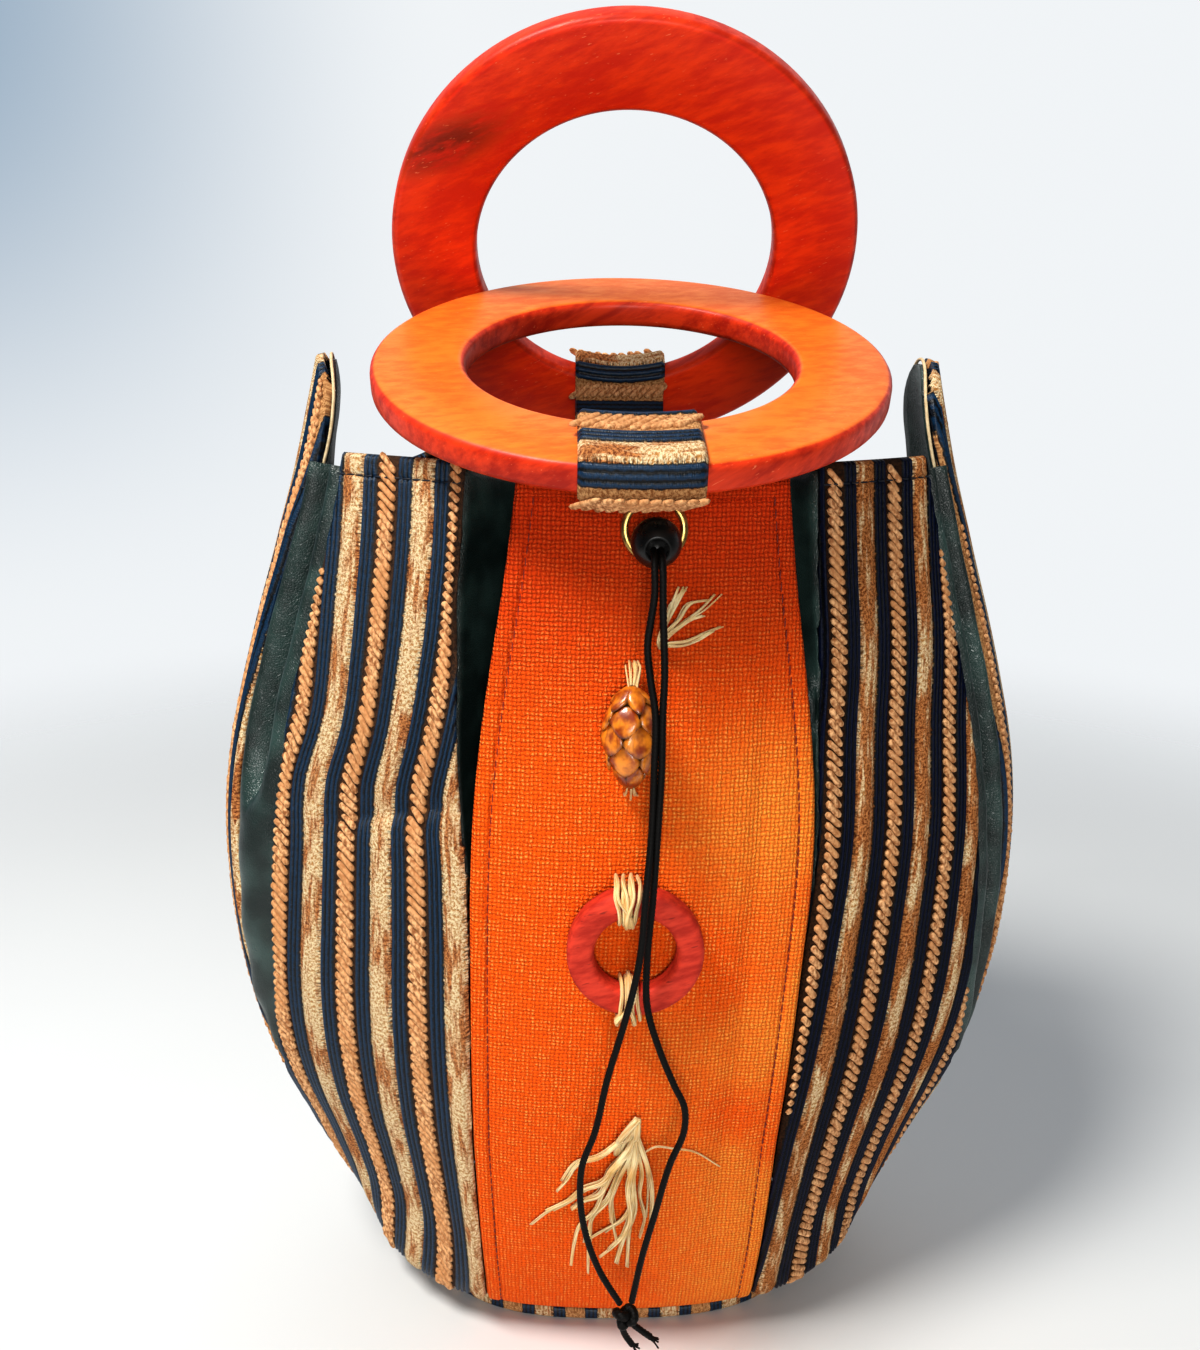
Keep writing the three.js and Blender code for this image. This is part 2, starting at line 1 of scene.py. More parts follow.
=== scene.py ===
# %% [markdown]
# # A tulip-shaped handbag with ring handles
# The bag is sewn from striped and orange cloth, with folded leather between the panels, ears at its sides
# and two wooden rings to carry it by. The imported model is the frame: its solids hold every piece's place
# and size. Here each soft or plain solid gets a finished piece that stands in the same space. Sizes below
# are in millimetres, as read off the bag, and MM turns them into Blender's metres at the last moment.

# %% Load the frame
import functools
import math
import random

import bmesh
import bpy
import numpy as np
from mathutils import Matrix, Vector


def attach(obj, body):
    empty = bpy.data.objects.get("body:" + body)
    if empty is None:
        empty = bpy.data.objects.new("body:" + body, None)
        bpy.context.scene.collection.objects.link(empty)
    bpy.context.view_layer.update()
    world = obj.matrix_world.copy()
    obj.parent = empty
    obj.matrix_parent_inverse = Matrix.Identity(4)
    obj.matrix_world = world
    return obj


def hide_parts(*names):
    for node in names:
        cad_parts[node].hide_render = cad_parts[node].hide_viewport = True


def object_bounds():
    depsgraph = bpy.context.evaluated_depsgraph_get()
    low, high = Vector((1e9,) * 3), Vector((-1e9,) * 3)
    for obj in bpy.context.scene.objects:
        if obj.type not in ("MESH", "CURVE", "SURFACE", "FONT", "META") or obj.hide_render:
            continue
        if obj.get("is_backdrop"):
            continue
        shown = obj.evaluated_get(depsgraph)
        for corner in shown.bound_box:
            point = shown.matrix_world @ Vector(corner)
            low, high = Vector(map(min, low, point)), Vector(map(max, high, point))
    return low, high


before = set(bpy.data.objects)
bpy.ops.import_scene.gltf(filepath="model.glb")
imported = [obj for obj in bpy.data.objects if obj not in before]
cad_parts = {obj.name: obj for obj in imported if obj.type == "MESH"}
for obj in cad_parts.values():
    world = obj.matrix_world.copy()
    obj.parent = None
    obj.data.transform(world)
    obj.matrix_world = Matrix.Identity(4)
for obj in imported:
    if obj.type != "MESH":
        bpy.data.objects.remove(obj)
cad_low, cad_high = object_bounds()
MM = 0.001
BAG = "bag"
print("frame:", len(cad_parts), "solids, from", tuple(cad_low), "to", tuple(cad_high))

# %% [markdown]
# ## Camera
# The photograph was taken from close by, a little above the rings, so the rings look large and the base
# small. A longer lens from further off would flatten that. The place and tilt were fitted to the rings'
# outlines.

# %% Camera
PHOTO_HEIGHT = 1350
FOCAL_PIXELS = 1200
SENSOR = 36
EYE = Vector((-17.4, -377.2, 328.6)) * MM
PITCH, YAW, ROLL = (math.radians(angle) for angle in (16.4, 1.5, 0.6))

forward = Vector((math.sin(YAW) * math.cos(PITCH), math.cos(YAW) * math.cos(PITCH), -math.sin(PITCH)))
level = Vector((math.cos(YAW), -math.sin(YAW), 0))
view_right = Matrix.Rotation(-ROLL, 3, forward) @ level
view_up = view_right.cross(forward)
lens = bpy.data.cameras.new("camera")
lens.sensor_width = SENSOR
lens.lens = SENSOR * FOCAL_PIXELS / PHOTO_HEIGHT
lens.clip_start = 0.01
camera = bpy.data.objects.new("camera", lens)
camera.matrix_world = Matrix.LocRotScale(EYE, Matrix((view_right, view_up, -forward)).transposed(), None)
bpy.context.scene.collection.objects.link(camera)
bpy.context.scene.camera = camera
print("camera lens", round(lens.lens, 2), "mm")

# %% [markdown]
# ## A paint box
# Every finish is a Principled shader fed by a few texture nodes. This small class shortens the usual steps:
# make a node, set or link its inputs, and join the result to the shader. What is the same all over is set
# on the shader.

# %% Paint box
class Finish:
    """A material, with short ways to add nodes and join them to its shader."""

    def __init__(self, name, **sockets):
        self.material = bpy.data.materials.new(name)
        self.material.use_nodes = True
        self.tree = self.material.node_tree
        self.shader = self.tree.nodes["Principled BSDF"]
        for socket, value in sockets.items():
            self.shader.inputs[socket.replace("_", " ")].default_value = value

    def node(self, kind, inputs=None, **settings):
        made = self.tree.nodes.new("ShaderNode" + kind)
        for name, value in settings.items():
            setattr(made, name, value)
        for name, value in (inputs or {}).items():
            if isinstance(value, bpy.types.NodeSocket):
                self.tree.links.new(value, made.inputs[name])
            else:
                made.inputs[name].default_value = value
        return made

    def sums(self, operation, first, second=0.0, third=0.0):
        return self.node("Math", {0: first, 1: second, 2: third}, operation=operation).outputs[0]

    def spread(self, value, low, high, to_low=0.0, to_high=1.0):
        names = {"Value": value, "From Min": low, "From Max": high, "To Min": to_low, "To Max": to_high}
        return self.node("MapRange", names, interpolation_type="SMOOTHSTEP").outputs[0]

    def blend(self, share, first, second):
        mixer = self.node("Mix", data_type="RGBA")
        for index, value in ((0, share), (6, first), (7, second)):
            if isinstance(value, bpy.types.NodeSocket):
                self.tree.links.new(value, mixer.inputs[index])
            else:
                mixer.inputs[index].default_value = value
        return mixer.outputs[2]

    def noise(self, place, scale, detail, roughness=0.5):
        names = {"Vector": place, "Scale": scale, "Detail": detail, "Roughness": roughness}
        return self.node("TexNoise", names).outputs[0]

    def stretched(self, place, scale, turn=None, centre=None):
        """Moves and turns a pattern first, then stretches it along its own turned directions."""
        if centre:
            back = [-part * MM for part in centre]
            place = self.node("Mapping", {"Vector": place, "Location": back}).outputs[0]
        if turn:
            place = self.node("Mapping", {"Vector": place, "Rotation": turn}).outputs[0]
        return self.node("Mapping", {"Vector": place, "Scale": scale}).outputs[0]

    def on_object(self):
        return self.node("TexCoord").outputs["Object"]

    def on_cloth(self):
        return self.node("UVMap", uv_map=CLOTH_MAP).outputs[0]

    def put(self, socket, value):
        self.tree.links.new(value, self.shader.inputs[socket])

    def bump(self, height, distance):
        names = {"Height": height, "Distance": distance * MM, "Strength": 1.0}
        self.put("Normal", self.node("Bump", names).outputs[0])


CLOTH_MAP = "cloth"


def colour(code):
    """A colour as Blender's linear values, from the six letters of a web colour."""
    parts = [int(code[i:i + 2], 16) / 255 for i in (0, 2, 4)]
    straight = [((p + 0.055) / 1.055) ** 2.4 if p > 0.04045 else p / 12.92 for p in parts]
    return (*straight, 1.0)


print("paint box ready")

# %% [markdown]
# ## Mesh helpers
# Most pieces here are sheets or tubes that follow a surface, so they start from `create_grid`, and each
# vertex then moves to its place in a table of points. A grid whose last column meets its first becomes a
# tube once its doubles are merged. The same call lays the cloth's own map, in millimetres, for patterns
# that follow the weave.

# %% Mesh helpers
MERGE = 1e-6


def smooth_through(knots, values, at):
    """Values at the given places on a smooth line through the knots."""
    knots = np.asarray(knots, float)
    values = np.asarray(values, float)
    at = np.asarray(at, float)
    slopes = np.gradient(values, knots, axis=0)
    k = np.clip(np.searchsorted(knots, at) - 1, 0, len(knots) - 2)
    shape = at.shape + (1,) * (values.ndim - 1)
    width = (knots[k + 1] - knots[k]).reshape(shape)
    t = ((at - knots[k]) / (knots[k + 1] - knots[k])).reshape(shape)
    rise = values[k] * (2 * t**3 - 3 * t**2 + 1) + values[k + 1] * (3 * t**2 - 2 * t**3)
    return rise + width * (slopes[k] * (t**3 - 2 * t**2 + t) + slopes[k + 1] * (t**3 - t**2))


def route_through(points, step):
    """A smooth path through the points, with a place about every step."""
    points = np.asarray(points, float)
    run = np.concatenate([[0], np.cumsum(np.linalg.norm(np.diff(points, axis=0), axis=1))])
    return smooth_through(run, points, np.linspace(0, run[-1], max(3, int(run[-1] / step) + 1)))


def unit(vectors):
    return vectors / np.linalg.norm(vectors, axis=-1, keepdims=True)


def smooth_step(value, low, high):
    t = np.clip((np.asarray(value, float) - low) / (high - low), 0, 1)
    return t * t * (3 - 2 * t)


def add_grid(bm, points, cloth=None, caps=False):
    """A grid whose vertices sit at points[row][column], with its cloth map where one is given."""
    rows, columns = points.shape[:2]
    made = bmesh.ops.create_grid(bm, x_segments=columns - 1, y_segments=rows - 1, size=1)["verts"]
    layer = bm.loops.layers.uv.get(CLOTH_MAP) or bm.loops.layers.uv.new(CLOTH_MAP)
    spots = {}
    for vert in made:
        spot = (round((vert.co.y + 1) * (rows - 1) / 2), round((vert.co.x + 1) * (columns - 1) / 2))
        spots[vert] = spot
        vert.co = Vector(points[spot]) * MM
    if cloth is not None:
        for face in {face for vert in made for face in vert.link_faces}:
            for loop in face.loops:
                loop[layer].uv = cloth[spots[loop.vert]]
    bmesh.ops.remove_doubles(bm, verts=made, dist=MERGE)
    if caps:
        bmesh.ops.holes_fill(bm, edges=[edge for edge in bm.edges if edge.is_boundary], sides=0)


def add_tube(bm, path, section, reference, sides):
    """A closed tube along path, with a section that gives sideways and outward offsets."""
    path = np.asarray(path, float)
    tangent = unit(np.gradient(path, axis=0))
    reference = np.asarray(reference, float)
    side = unit(np.cross(tangent, reference))
    outward = np.cross(side, tangent)
    run = np.concatenate([[0], np.cumsum(np.linalg.norm(np.diff(path, axis=0), axis=1))])
    angle = np.linspace(0, 2 * math.pi, sides + 1)
    wide, high = section(angle[None, :], run[:, None])
    points = path[:, None] + side[:, None] * wide[..., None] + outward[:, None] * high[..., None]
    around = np.broadcast_to(angle[None, :], wide.shape)
    along = np.broadcast_to(run[:, None], wide.shape)
    add_grid(bm, points, np.stack([around, along], -1), caps=True)


def finished(name, bm, finishes, body=BAG, nodes=(), centre=None):
    """The bmesh as a named object with its finishes, riding on a body and standing for its solids."""
    if centre is None:
        bmesh.ops.recalc_face_normals(bm, faces=bm.faces[:])
    else:
        face_away(bm, centre)
    mesh = bpy.data.meshes.new(name)
    bm.to_mesh(mesh)
    bm.free()
    return dressed(name, mesh, finishes, body, nodes)


def face_away(bm, centre):
    """Turns an open sheet's faces so that they look away from a line or point inside the bag."""
    bm.normal_update()
    middle = Vector(centre) * MM
    looks = sum((face.calc_center_median() - middle).dot(face.normal) * face.calc_area() for face in bm.faces)
    if looks < 0:
        bmesh.ops.reverse_faces(bm, faces=bm.faces[:])


def dressed(name, mesh, finishes, body=BAG, nodes=()):
    for finish in finishes:
        mesh.materials.append(finish.material)
    mesh.shade_smooth()
    piece = bpy.data.objects.new(name, mesh)
    bpy.context.scene.collection.objects.link(piece)
    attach(piece, body)
    if nodes:
        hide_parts(*nodes)
    print(name, len(mesh.polygons), "faces")
    return piece


def thicken(piece, thickness, reverse=0):
    """A live wall thickness that grows inwards, with the reverse side's finish."""
    wall = piece.modifiers.new("thickness", "SOLIDIFY")
    wall.thickness = thickness * MM
    wall.offset = -1
    wall.material_offset = reverse


# %% [markdown]
# ## Drawstring
# Two strands of limp waxed cord leave the black stop, hang down the front over the trim and end in one
# knot. A curve with a round bevel would do for a smooth cable, but this cord shows its twist, so each
# strand is a tube whose section has four shallow ridges that turn as they go down. The route is the one the
# solids follow, and the cord's real length is simply the length of that route, since the photograph shows
# it from end to end.

# %% Drawstring
CORD_DIAMETER = 2.0
CORD_RIDGES = 4
CORD_TURN = 4.6
CORD_ROUTES = {
    "left": [
        (3.7, -77.6, 273.4), (3.7, -81, 272.2), (3.7, -83.6, 269), (3.7, -84.8, 263), (2.9, -85.2, 257),
        (2.2, -85.6, 251), (3.0, -86.5, 242), (4.3, -87.4, 234), (4.4, -88.4, 218), (4.1, -89.2, 202),
        (2.8, -91.4, 184), (1.6, -92.6, 167), (-0.2, -92.6, 156), (-2.4, -92.2, 146), (-6.8, -91.4, 127.7),
        (-10.2, -90.8, 109.8), (-13.4, -90.4, 99.5), (-14, -90, 89), (-11.9, -89.5, 73.4), (-8, -89, 61.2),
        (-2, -88.6, 49.3),
    ],
    "right": [
        (5.6, -77.6, 273.4), (5.6, -81, 272.2), (5.7, -83.6, 269), (5.8, -84.8, 263), (6, -85.2, 257),
        (6.3, -85.6, 251), (6.6, -86.5, 242), (6.3, -87.4, 234), (6.3, -88.4, 218), (5.7, -89.2, 202),
        (4.8, -89.4, 182), (3.7, -89.3, 165), (4.0, -89.2, 149.5), (7.8, -89, 135.5), (12, -89, 124.6),
        (15.2, -89, 117), (15.4, -89, 110.5), (11.5, -89, 98.2), (7.6, -89, 81.1), (4.4, -89, 67.1),
        (1.5, -88.8, 50),
    ],
}
KNOT_CENTRE = np.array((-0.3, -88.6, 44.4))
KNOT_TAILS = [
    [(1.4, -88.6, 42.2), (4.6, -89, 39.6), (7.4, -89.2, 37.4)],
    [(-1.5, -88.2, 42.2), (-0.4, -87.6, 37.2), (2, -87.4, 32.8)],
]
SIDEWAYS = (1, 0, 0)

waxed_cord = Finish("waxed_cord", Roughness=0.5, Specular_IOR_Level=0.15)
fibre = waxed_cord.noise(waxed_cord.stretched(waxed_cord.on_cloth(), (3, 2.5, 1)), 1.0, 3)
waxed_cord.put("Base Color", waxed_cord.blend(fibre, colour("020202"), colour("0e0b09")))
waxed_cord.bump(fibre, 0.12)


def twisted(angle, run, radius=CORD_DIAMETER / 2):
    """The cord's section: a round with shallow ridges that turn along the cord."""
    ridges = np.cos(CORD_RIDGES * (angle - 2 * math.pi * run / CORD_TURN))
    radius = radius * (0.93 + 0.07 * ridges)
    return radius * np.cos(angle), radius * np.sin(angle)


routes = {}
for which, points in CORD_ROUTES.items():
    routes[which] = route_through(points, 0.3)
    bm = bmesh.new()
    add_tube(bm, routes[which], twisted, SIDEWAYS, 20)
    finished(
        "drawstring_" + which, bm, [waxed_cord], nodes=["cord_strand_" + which])

turns = np.linspace(0, 2 * math.pi, 161)
overhand = np.stack([
    0.95 * (np.sin(turns) + 2 * np.sin(2 * turns)),
    -1.5 * np.sin(3 * turns),
    0.8 * (np.cos(turns) - 2 * np.cos(2 * turns)),
], -1)
rng = random.Random(3)
bm = bmesh.new()
add_tube(bm, KNOT_CENTRE + overhand, lambda angle, run: twisted(angle, run, 1.45), (0.2, 1, 0.3), 16)
for tail in KNOT_TAILS:
    add_tube(bm, route_through(tail, 0.3), twisted, (0, 1, 0), 16)
    end = np.array(tail[-1])
    way = unit(end - np.array(tail[-2]))
    for _ in range(7):
        stray = np.array([rng.uniform(-0.7, 0.7) for _ in range(3)])
        fray = [end - way + 0.8 * stray, end + way + stray, end + way * rng.uniform(1.8, 2.6) + 2 * stray]
        add_tube(bm, route_through(fray, 0.6), lambda angle, run: twisted(angle, run, 0.3), (0, 1, 0), 6)
knot = finished("drawstring_knot", bm, [waxed_cord], nodes=["cord_knot"])

# %% [markdown]
# ## The bag's skin
# The body is one smooth surface: an oval that starts small and rather square on the base, swells at the
# belly and closes in at the rim. Cloth simulation could inflate such a bag, but its stripes have to run
# true from base to rim, so the surface is drawn through measured sections and the panels are cut out of it.
# Angle 0 is the middle of the front and a quarter turn the right side.

# %% Skin
SECTIONS = np.array([
    # height, half width, half depth, half of the front panel and of the side panel, gaps of the front and
    # side gussets, folds of the front and side gussets
    (5, 66, 45, 45, 0, 0, 0, 0, 0), (13, 82, 52.5, 45, 1.5, 0, 0, 0, 0), (26, 92, 59, 45, 4, 0, 0, 0, 0),
    (44, 102, 65, 45.5, 8, 0, 0, 0, 0), (66, 111, 70, 46, 13, 0, 0.6, 0, 7),
    (88, 119, 74, 46.5, 18, 0, 6, 0, 11),
    (110, 125, 77, 47, 22, 0, 12, 0, 15), (132, 128.5, 78.5, 47.5, 25, 0, 15, 0, 19),
    (154, 130, 78.5, 48, 26.5, 0, 15.5, 0, 22), (176, 129.5, 77.5, 48.5, 27, 0.6, 15.5, 7, 24),
    (198, 126.5, 75.5, 48, 26.5, 2.5, 15, 11, 25), (220, 121, 73, 46, 25, 5.5, 14.5, 15, 26),
    (242, 114.5, 70, 43, 23.5, 8.5, 14, 19, 26), (262, 108, 67, 40, 22, 10.5, 13, 23, 26),
    (279, 103, 64, 38, 21, 12, 12.5, 25, 26), (293, 99.5, 61.5, 36.5, 20, 13, 12, 26, 26),
    (303, 97, 59.5, 35, 18.5, 13, 12, 26, 26), (311, 95, 58.5, 34, 15, 13, 12, 26, 26),
    (316, 93.8, 58, 34, 10, 13, 12, 26, 26), (319, 93, 57.5, 34, 4, 13, 12, 26, 26),
], float)
BASE_SQUARENESS = 0.8
SQUARENESS_FADE = 25
GAP = 0.4


@functools.lru_cache(maxsize=None)
def section(z):
    """Half width, half depth, half panels, gaps and folds at a height."""
    z = np.clip(z, SECTIONS[0, 0], SECTIONS[-1, 0])
    return np.maximum(smooth_through(SECTIONS[:, 0], SECTIONS[:, 1:], np.array([float(z)]))[0], 0)


def power(z):
    return 2 + BASE_SQUARENESS * math.exp(-z / SQUARENESS_FADE)


def skin(z, angle):
    """Points on the skin at one height."""
    half_width, half_depth = section(z)[:2]
    angle = np.asarray(angle, float)
    x = half_width * np.sign(np.sin(angle)) * np.abs(np.sin(angle)) ** (2 / power(z))
    y = -half_depth * np.sign(np.cos(angle)) * np.abs(np.cos(angle)) ** (2 / power(z))
    return np.stack([x, y, np.full_like(angle, z)], -1)


def skin_normal(z, angle):
    along = skin(z, angle + 0.004) - skin(z, angle - 0.004)
    rise = skin(min(z + 1, SECTIONS[-1, 0]), angle) - skin(max(z - 1, SECTIONS[0, 0]), angle)
    return unit(np.cross(along, rise))


def angle_at_x(x, z):
    return math.asin(min(1, (max(x, 0) / section(z)[0]) ** (power(z) / 2)))


def angle_at_y(y, z):
    return math.acos(min(1, (max(y, 0) / section(z)[1]) ** (power(z) / 2)))


def on_front(across, z, proud):
    """A place on the front at X and height, so far proud of the skin."""
    angle = np.array([math.copysign(angle_at_x(abs(across), z), across)])
    return (skin(z, angle) + skin_normal(z, angle) * proud)[0]


print("skin at the belly", skin(154, np.array([0, math.pi / 2])).round(1).tolist())

# %% [markdown]
# ## Cut panels
# A panel is a strip of that skin between two seams. It is placed by the way across the cloth from its
# middle and by the height, so the seams cut into the stripes wherever the panel narrows. Stripes may also
# be counted from one edge and stretched by height, and a panel can be pulled flatter between its seams, as
# stiff cloth is. The back's rim sags towards the ears.

# %% Cut panels
class Panel:
    """One cut of cloth on the bag's skin. A chenille lies at an offset from its middle or its first edge."""

    def __init__(self, foot, rim, edges, turn, offset=0.0, from_edge=None, dent=None, flat=0.0, stretch=None):
        self.foot = foot
        self.rim = rim
        self.edges = edges
        self.turn = turn
        self.offset = offset
        self.from_edge = from_edge
        self.flat = flat
        self.stretch = stretch or (lambda z: 1.0)
        self.dent = dent or (lambda across, margin, z: 0)
        self.row = functools.lru_cache(maxsize=None)(self.measured)

    def measured(self, z):
        """Angles across the panel at a height, with their way along the cloth from the middle."""
        angles = np.linspace(*self.edges(z), 61)
        steps = np.linalg.norm(np.diff(skin(z, angles), axis=0), axis=1)
        arc = np.concatenate([[0], np.cumsum(steps)])
        return angles, arc - arc[30]

    def slide(self, z):
        """How far the cloth's own map is ahead of the way across."""
        if self.from_edge is None:
            return -self.offset
        return -float(self.row(z)[1][0]) - self.from_edge(z)

    def place(self, across, z, proud):
        angles, arc = self.row(z)
        angle = np.interp(across, arc, angles)
        margin = np.minimum(across - arc[0], arc[-1] - across)
        proud = np.asarray(proud, float) - self.dent(across, margin, z)
        ends = skin(z, angles[[0, -1]])
        share = np.clip((across - arc[0]) / (arc[-1] - arc[0]), 0, 1)[..., None]
        flat = self.flat * float(smooth_step(z, 8, 50))
        surface = (1 - flat) * skin(z, angle) + flat * (ends[0] + share * (ends[1] - ends[0]))
        return self.turn(surface + skin_normal(z, angle) * proud[..., None])

    def stand(self, across, z, proud):
        """A place on the cloth with its directions: right and up as seen from outside, and outwards."""
        spot = np.array([across])
        point = self.place(spot, z, np.array([proud]))[0]
        beside = self.place(spot + 0.5, z, np.array([proud]))[0] - point
        rise = self.place(spot - self.slide(z + 0.5) + self.slide(z), z + 0.5, np.array([proud]))[0] - point
        lifted = self.place(spot, z, np.array([proud + 1.0]))[0] - point
        outward = unit(np.cross(beside, rise))
        outward = outward * math.copysign(1, float(outward @ lifted))
        right = unit(np.cross(rise, outward))
        return point, right, np.cross(outward, right), outward

    def sewn(self, heights, columns, push):
        """The panel as a grid of points with its cloth map."""
        points = []
        cloth = []
        along = 0.0
        for k, z in enumerate(heights):
            slide = self.slide(z)
            arc = self.row(z)[1]
            stretch = self.stretch(z)
            woven = columns((arc[0] + slide) / stretch, (arc[-1] + slide) / stretch)
            across = woven * stretch - slide
            margin = np.minimum(across - arc[0], arc[-1] - across)
            row = self.place(across, z, push(woven, margin, z))
            if k:
                along += float(np.linalg.norm(row[len(row) // 2] - points[-1][len(row) // 2]))
            points.append(row)
            cloth.append(np.stack([woven, np.full_like(woven, along)], -1))
        return np.array(points), np.array(cloth)


print("panels follow", len(SECTIONS), "measured sections")

# %% Seams
BACK_SAG = 10


def mirrored(right, front):
    """Mirrors a piece to its side, and lets the back's rim sag towards the ears."""
    def turn(points):
        points = points * np.array([right, front, 1])
        if front < 0:
            outer = smooth_step(np.abs(points[..., 0]), 48, 76)
            points[..., 2] -= BACK_SAG * outer * smooth_step(points[..., 2], 235, 293)
        return points
    return turn


def knots(table):
    """A smooth line through pairs of height and value, level beyond its ends."""
    table = np.array(sorted(table), float)

    @functools.lru_cache(maxsize=None)
    def line(z):
        return float(smooth_through(table[:, 0], table[:, 1], np.clip([z], table[0, 0], table[-1, 0]))[0])
    return line


FRONT_DRIFT = knots([(90, 0), (140, 1.6), (190, 3.4), (235, 4.0), (289, 4.8)])
LEFT_TUCK = knots([
    (110, 0), (160, 0.8), (200, 2.2), (225, 2.5), (245, 3.6), (262, 4.6), (278, 4.6), (293, 4.2)])
LEFT_REACH = knots([(190, 0), (206, 1.4), (215, 2.4), (228, 3.2), (242, 3.4), (255, 2.8), (293, 4.4)])
LEFT_SIDE_TUCK = knots([(120, 0), (160, 1.2), (190, 3.2), (215, 4.0), (240, 2.8), (270, 0)])


def nudged(angle, distance, z):
    """An angle moved along the skin by a distance."""
    return angle + distance * 0.01 / float(np.linalg.norm(skin(z, angle + 0.01) - skin(z, angle)))


def striped_edges(z, tuck=0.0, drift=0.0):
    front_half, side_half, front_gap, side_gap = section(z)[2:6]
    side = angle_at_y(side_half + side_gap + GAP / 2, z)
    return angle_at_x(front_half + front_gap + drift + GAP / 2, z), nudged(side, -tuck, z)


def seam_drift(z):
    """How far the front's seams are moved to the right below the gussets, where they close."""
    return FRONT_DRIFT(z) * (1 - float(smooth_step(z, 176, 226)))


def left_edges(z):
    return striped_edges(z, LEFT_TUCK(z), -seam_drift(z) - LEFT_REACH(z))


def right_edges(z):
    return striped_edges(z, 0.0, seam_drift(z))


def front_edges(z, drift=0.0):
    half = section(z)[2] - GAP / 2
    return -angle_at_x(half - drift, z), angle_at_x(half + drift, z)


def drifted_edges(z):
    return front_edges(z, FRONT_DRIFT(z))


def side_edges(z, inset=0.0, tuck=0.0):
    edge = angle_at_y(max(section(z)[3] - GAP / 2 - inset, 0.3), z)
    return nudged(edge, tuck, z), math.pi - edge


def tucked_side_edges(z):
    return side_edges(z, 0.0, LEFT_SIDE_TUCK(z))


print("front panel is", round(2 * section(154)[2]), "mm wide at the belly")

# %% [markdown]
# ## Striped cloth
# The stripes repeat about every 22 mm: a fluffy cream chenille, fine navy satin cords, a tan braid, and
# navy again. One image would not survive a close look, so the colour comes from a ping-pong wave on the
# cloth's own map, and the relief is real: a dome for the chenille and three small ridges for the satin. The
# braid's lobes are separate.
# The satin's colour holds painted light: a highlight on each cord's crest and near-black shade between.

# %% Striped cloth finish
REPEAT = 21.6
CHENILLE = 3.3
SATIN = 7.5
SATIN_CORD = 1.4


def striped_finish(name, bed_dark, bed_light, satin_crest_highlight="0a3352", brown_from=0.95, shine=0.35):
    """Stripes on the cloth's map, with the braid's ground and the satin's painted crest highlight in the
    given colours.
    """
    cloth = Finish(name, Specular_IOR_Level=shine)
    weave = cloth.on_cloth()
    across = cloth.node("SeparateXYZ", {"Vector": weave}).outputs["X"]
    wander = cloth.noise(cloth.stretched(weave, (0.3, 0.8, 1)), 1.0, 3)
    drift = cloth.sums("MULTIPLY_ADD", cloth.sums("SUBTRACT", wander, 0.5), 0.9, across)
    phase = cloth.sums("PINGPONG", drift, REPEAT / 2)
    fluffy = cloth.spread(phase, CHENILLE - 0.12, CHENILLE + 0.12, 1, 0)
    bed = cloth.spread(phase, SATIN - 0.1, SATIN + 0.15)

    specks = cloth.noise(cloth.stretched(weave, (1.4, 1.1, 1)), 1.0, 3, 0.8)
    streaks = cloth.noise(cloth.stretched(weave, (0.8, 0.07, 1)), 1.0, 3, 0.6)
    patches = cloth.noise(cloth.stretched(weave, (0.2, 0.045, 1)), 1.0, 2)
    dashes = cloth.noise(cloth.stretched(weave, (0.25, 1.7, 1)), 1.0, 2)
    pile = cloth.spread(specks, 0.38, 0.6)
    cream = cloth.blend(pile, colour("c48842"), colour("ffedc4"))
    brown = cloth.blend(pile, colour("7a3b16"), colour("dd9658"))
    warm = cloth.spread(cloth.sums("ADD", streaks, patches), brown_from, brown_from + 0.2)
    cream = cloth.blend(warm, cream, brown)
    # Painted shade: dark dashes towards the chenille's edges, where its dome turns down to the satin.
    painted_edge_shade = cloth.sums("MULTIPLY", cloth.spread(phase, 1.9, 3.2), cloth.spread(dashes, 0.5, 0.6, 0, 0.85))
    cream = cloth.blend(painted_edge_shade, cream, colour("3a1f0d"))

    # Painted highlight on each satin cord's crest, and painted shade, near black, in the grooves between.
    cord = cloth.sums("DIVIDE", cloth.sums("SUBTRACT", phase, CHENILLE), SATIN_CORD)
    ridge = cloth.sums("ABSOLUTE", cloth.sums("SINE", cloth.sums("MULTIPLY", cord, math.pi)))
    twill = cloth.noise(cloth.stretched(weave, (1.2, 3.2, 1)), 1.0, 2)
    satin = cloth.sums("MULTIPLY", cloth.spread(ridge, 0.3, 1.0), cloth.spread(twill, 0.2, 0.7, 0.5, 1))
    navy = cloth.blend(satin, colour("010306"), colour(satin_crest_highlight))
    ground = cloth.blend(cloth.spread(specks, 0.4, 0.6), colour(bed_dark), colour(bed_light))
    cloth.put("Base Color", cloth.blend(fluffy, cloth.blend(bed, navy, ground), cream))
    cloth.put("Roughness", cloth.spread(cloth.sums("MAXIMUM", fluffy, bed), 0, 1, 0.38, 0.95))
    fuzz = cloth.sums("MULTIPLY", specks, cloth.spread(fluffy, 0, 1, 0.1, 1))
    thread = cloth.sums("MULTIPLY", twill, cloth.spread(fluffy, 0, 1, 0.12, 0))
    cloth.bump(cloth.sums("ADD", fuzz, thread), 1.5)
    return cloth


# On the front and back panels the braid's bed is painted dark brown as shade in the gaps between the lobes;
# the flat copy keeps a tan bed.
striped = striped_finish("striped_cloth", "22130a", "4a2f1a")
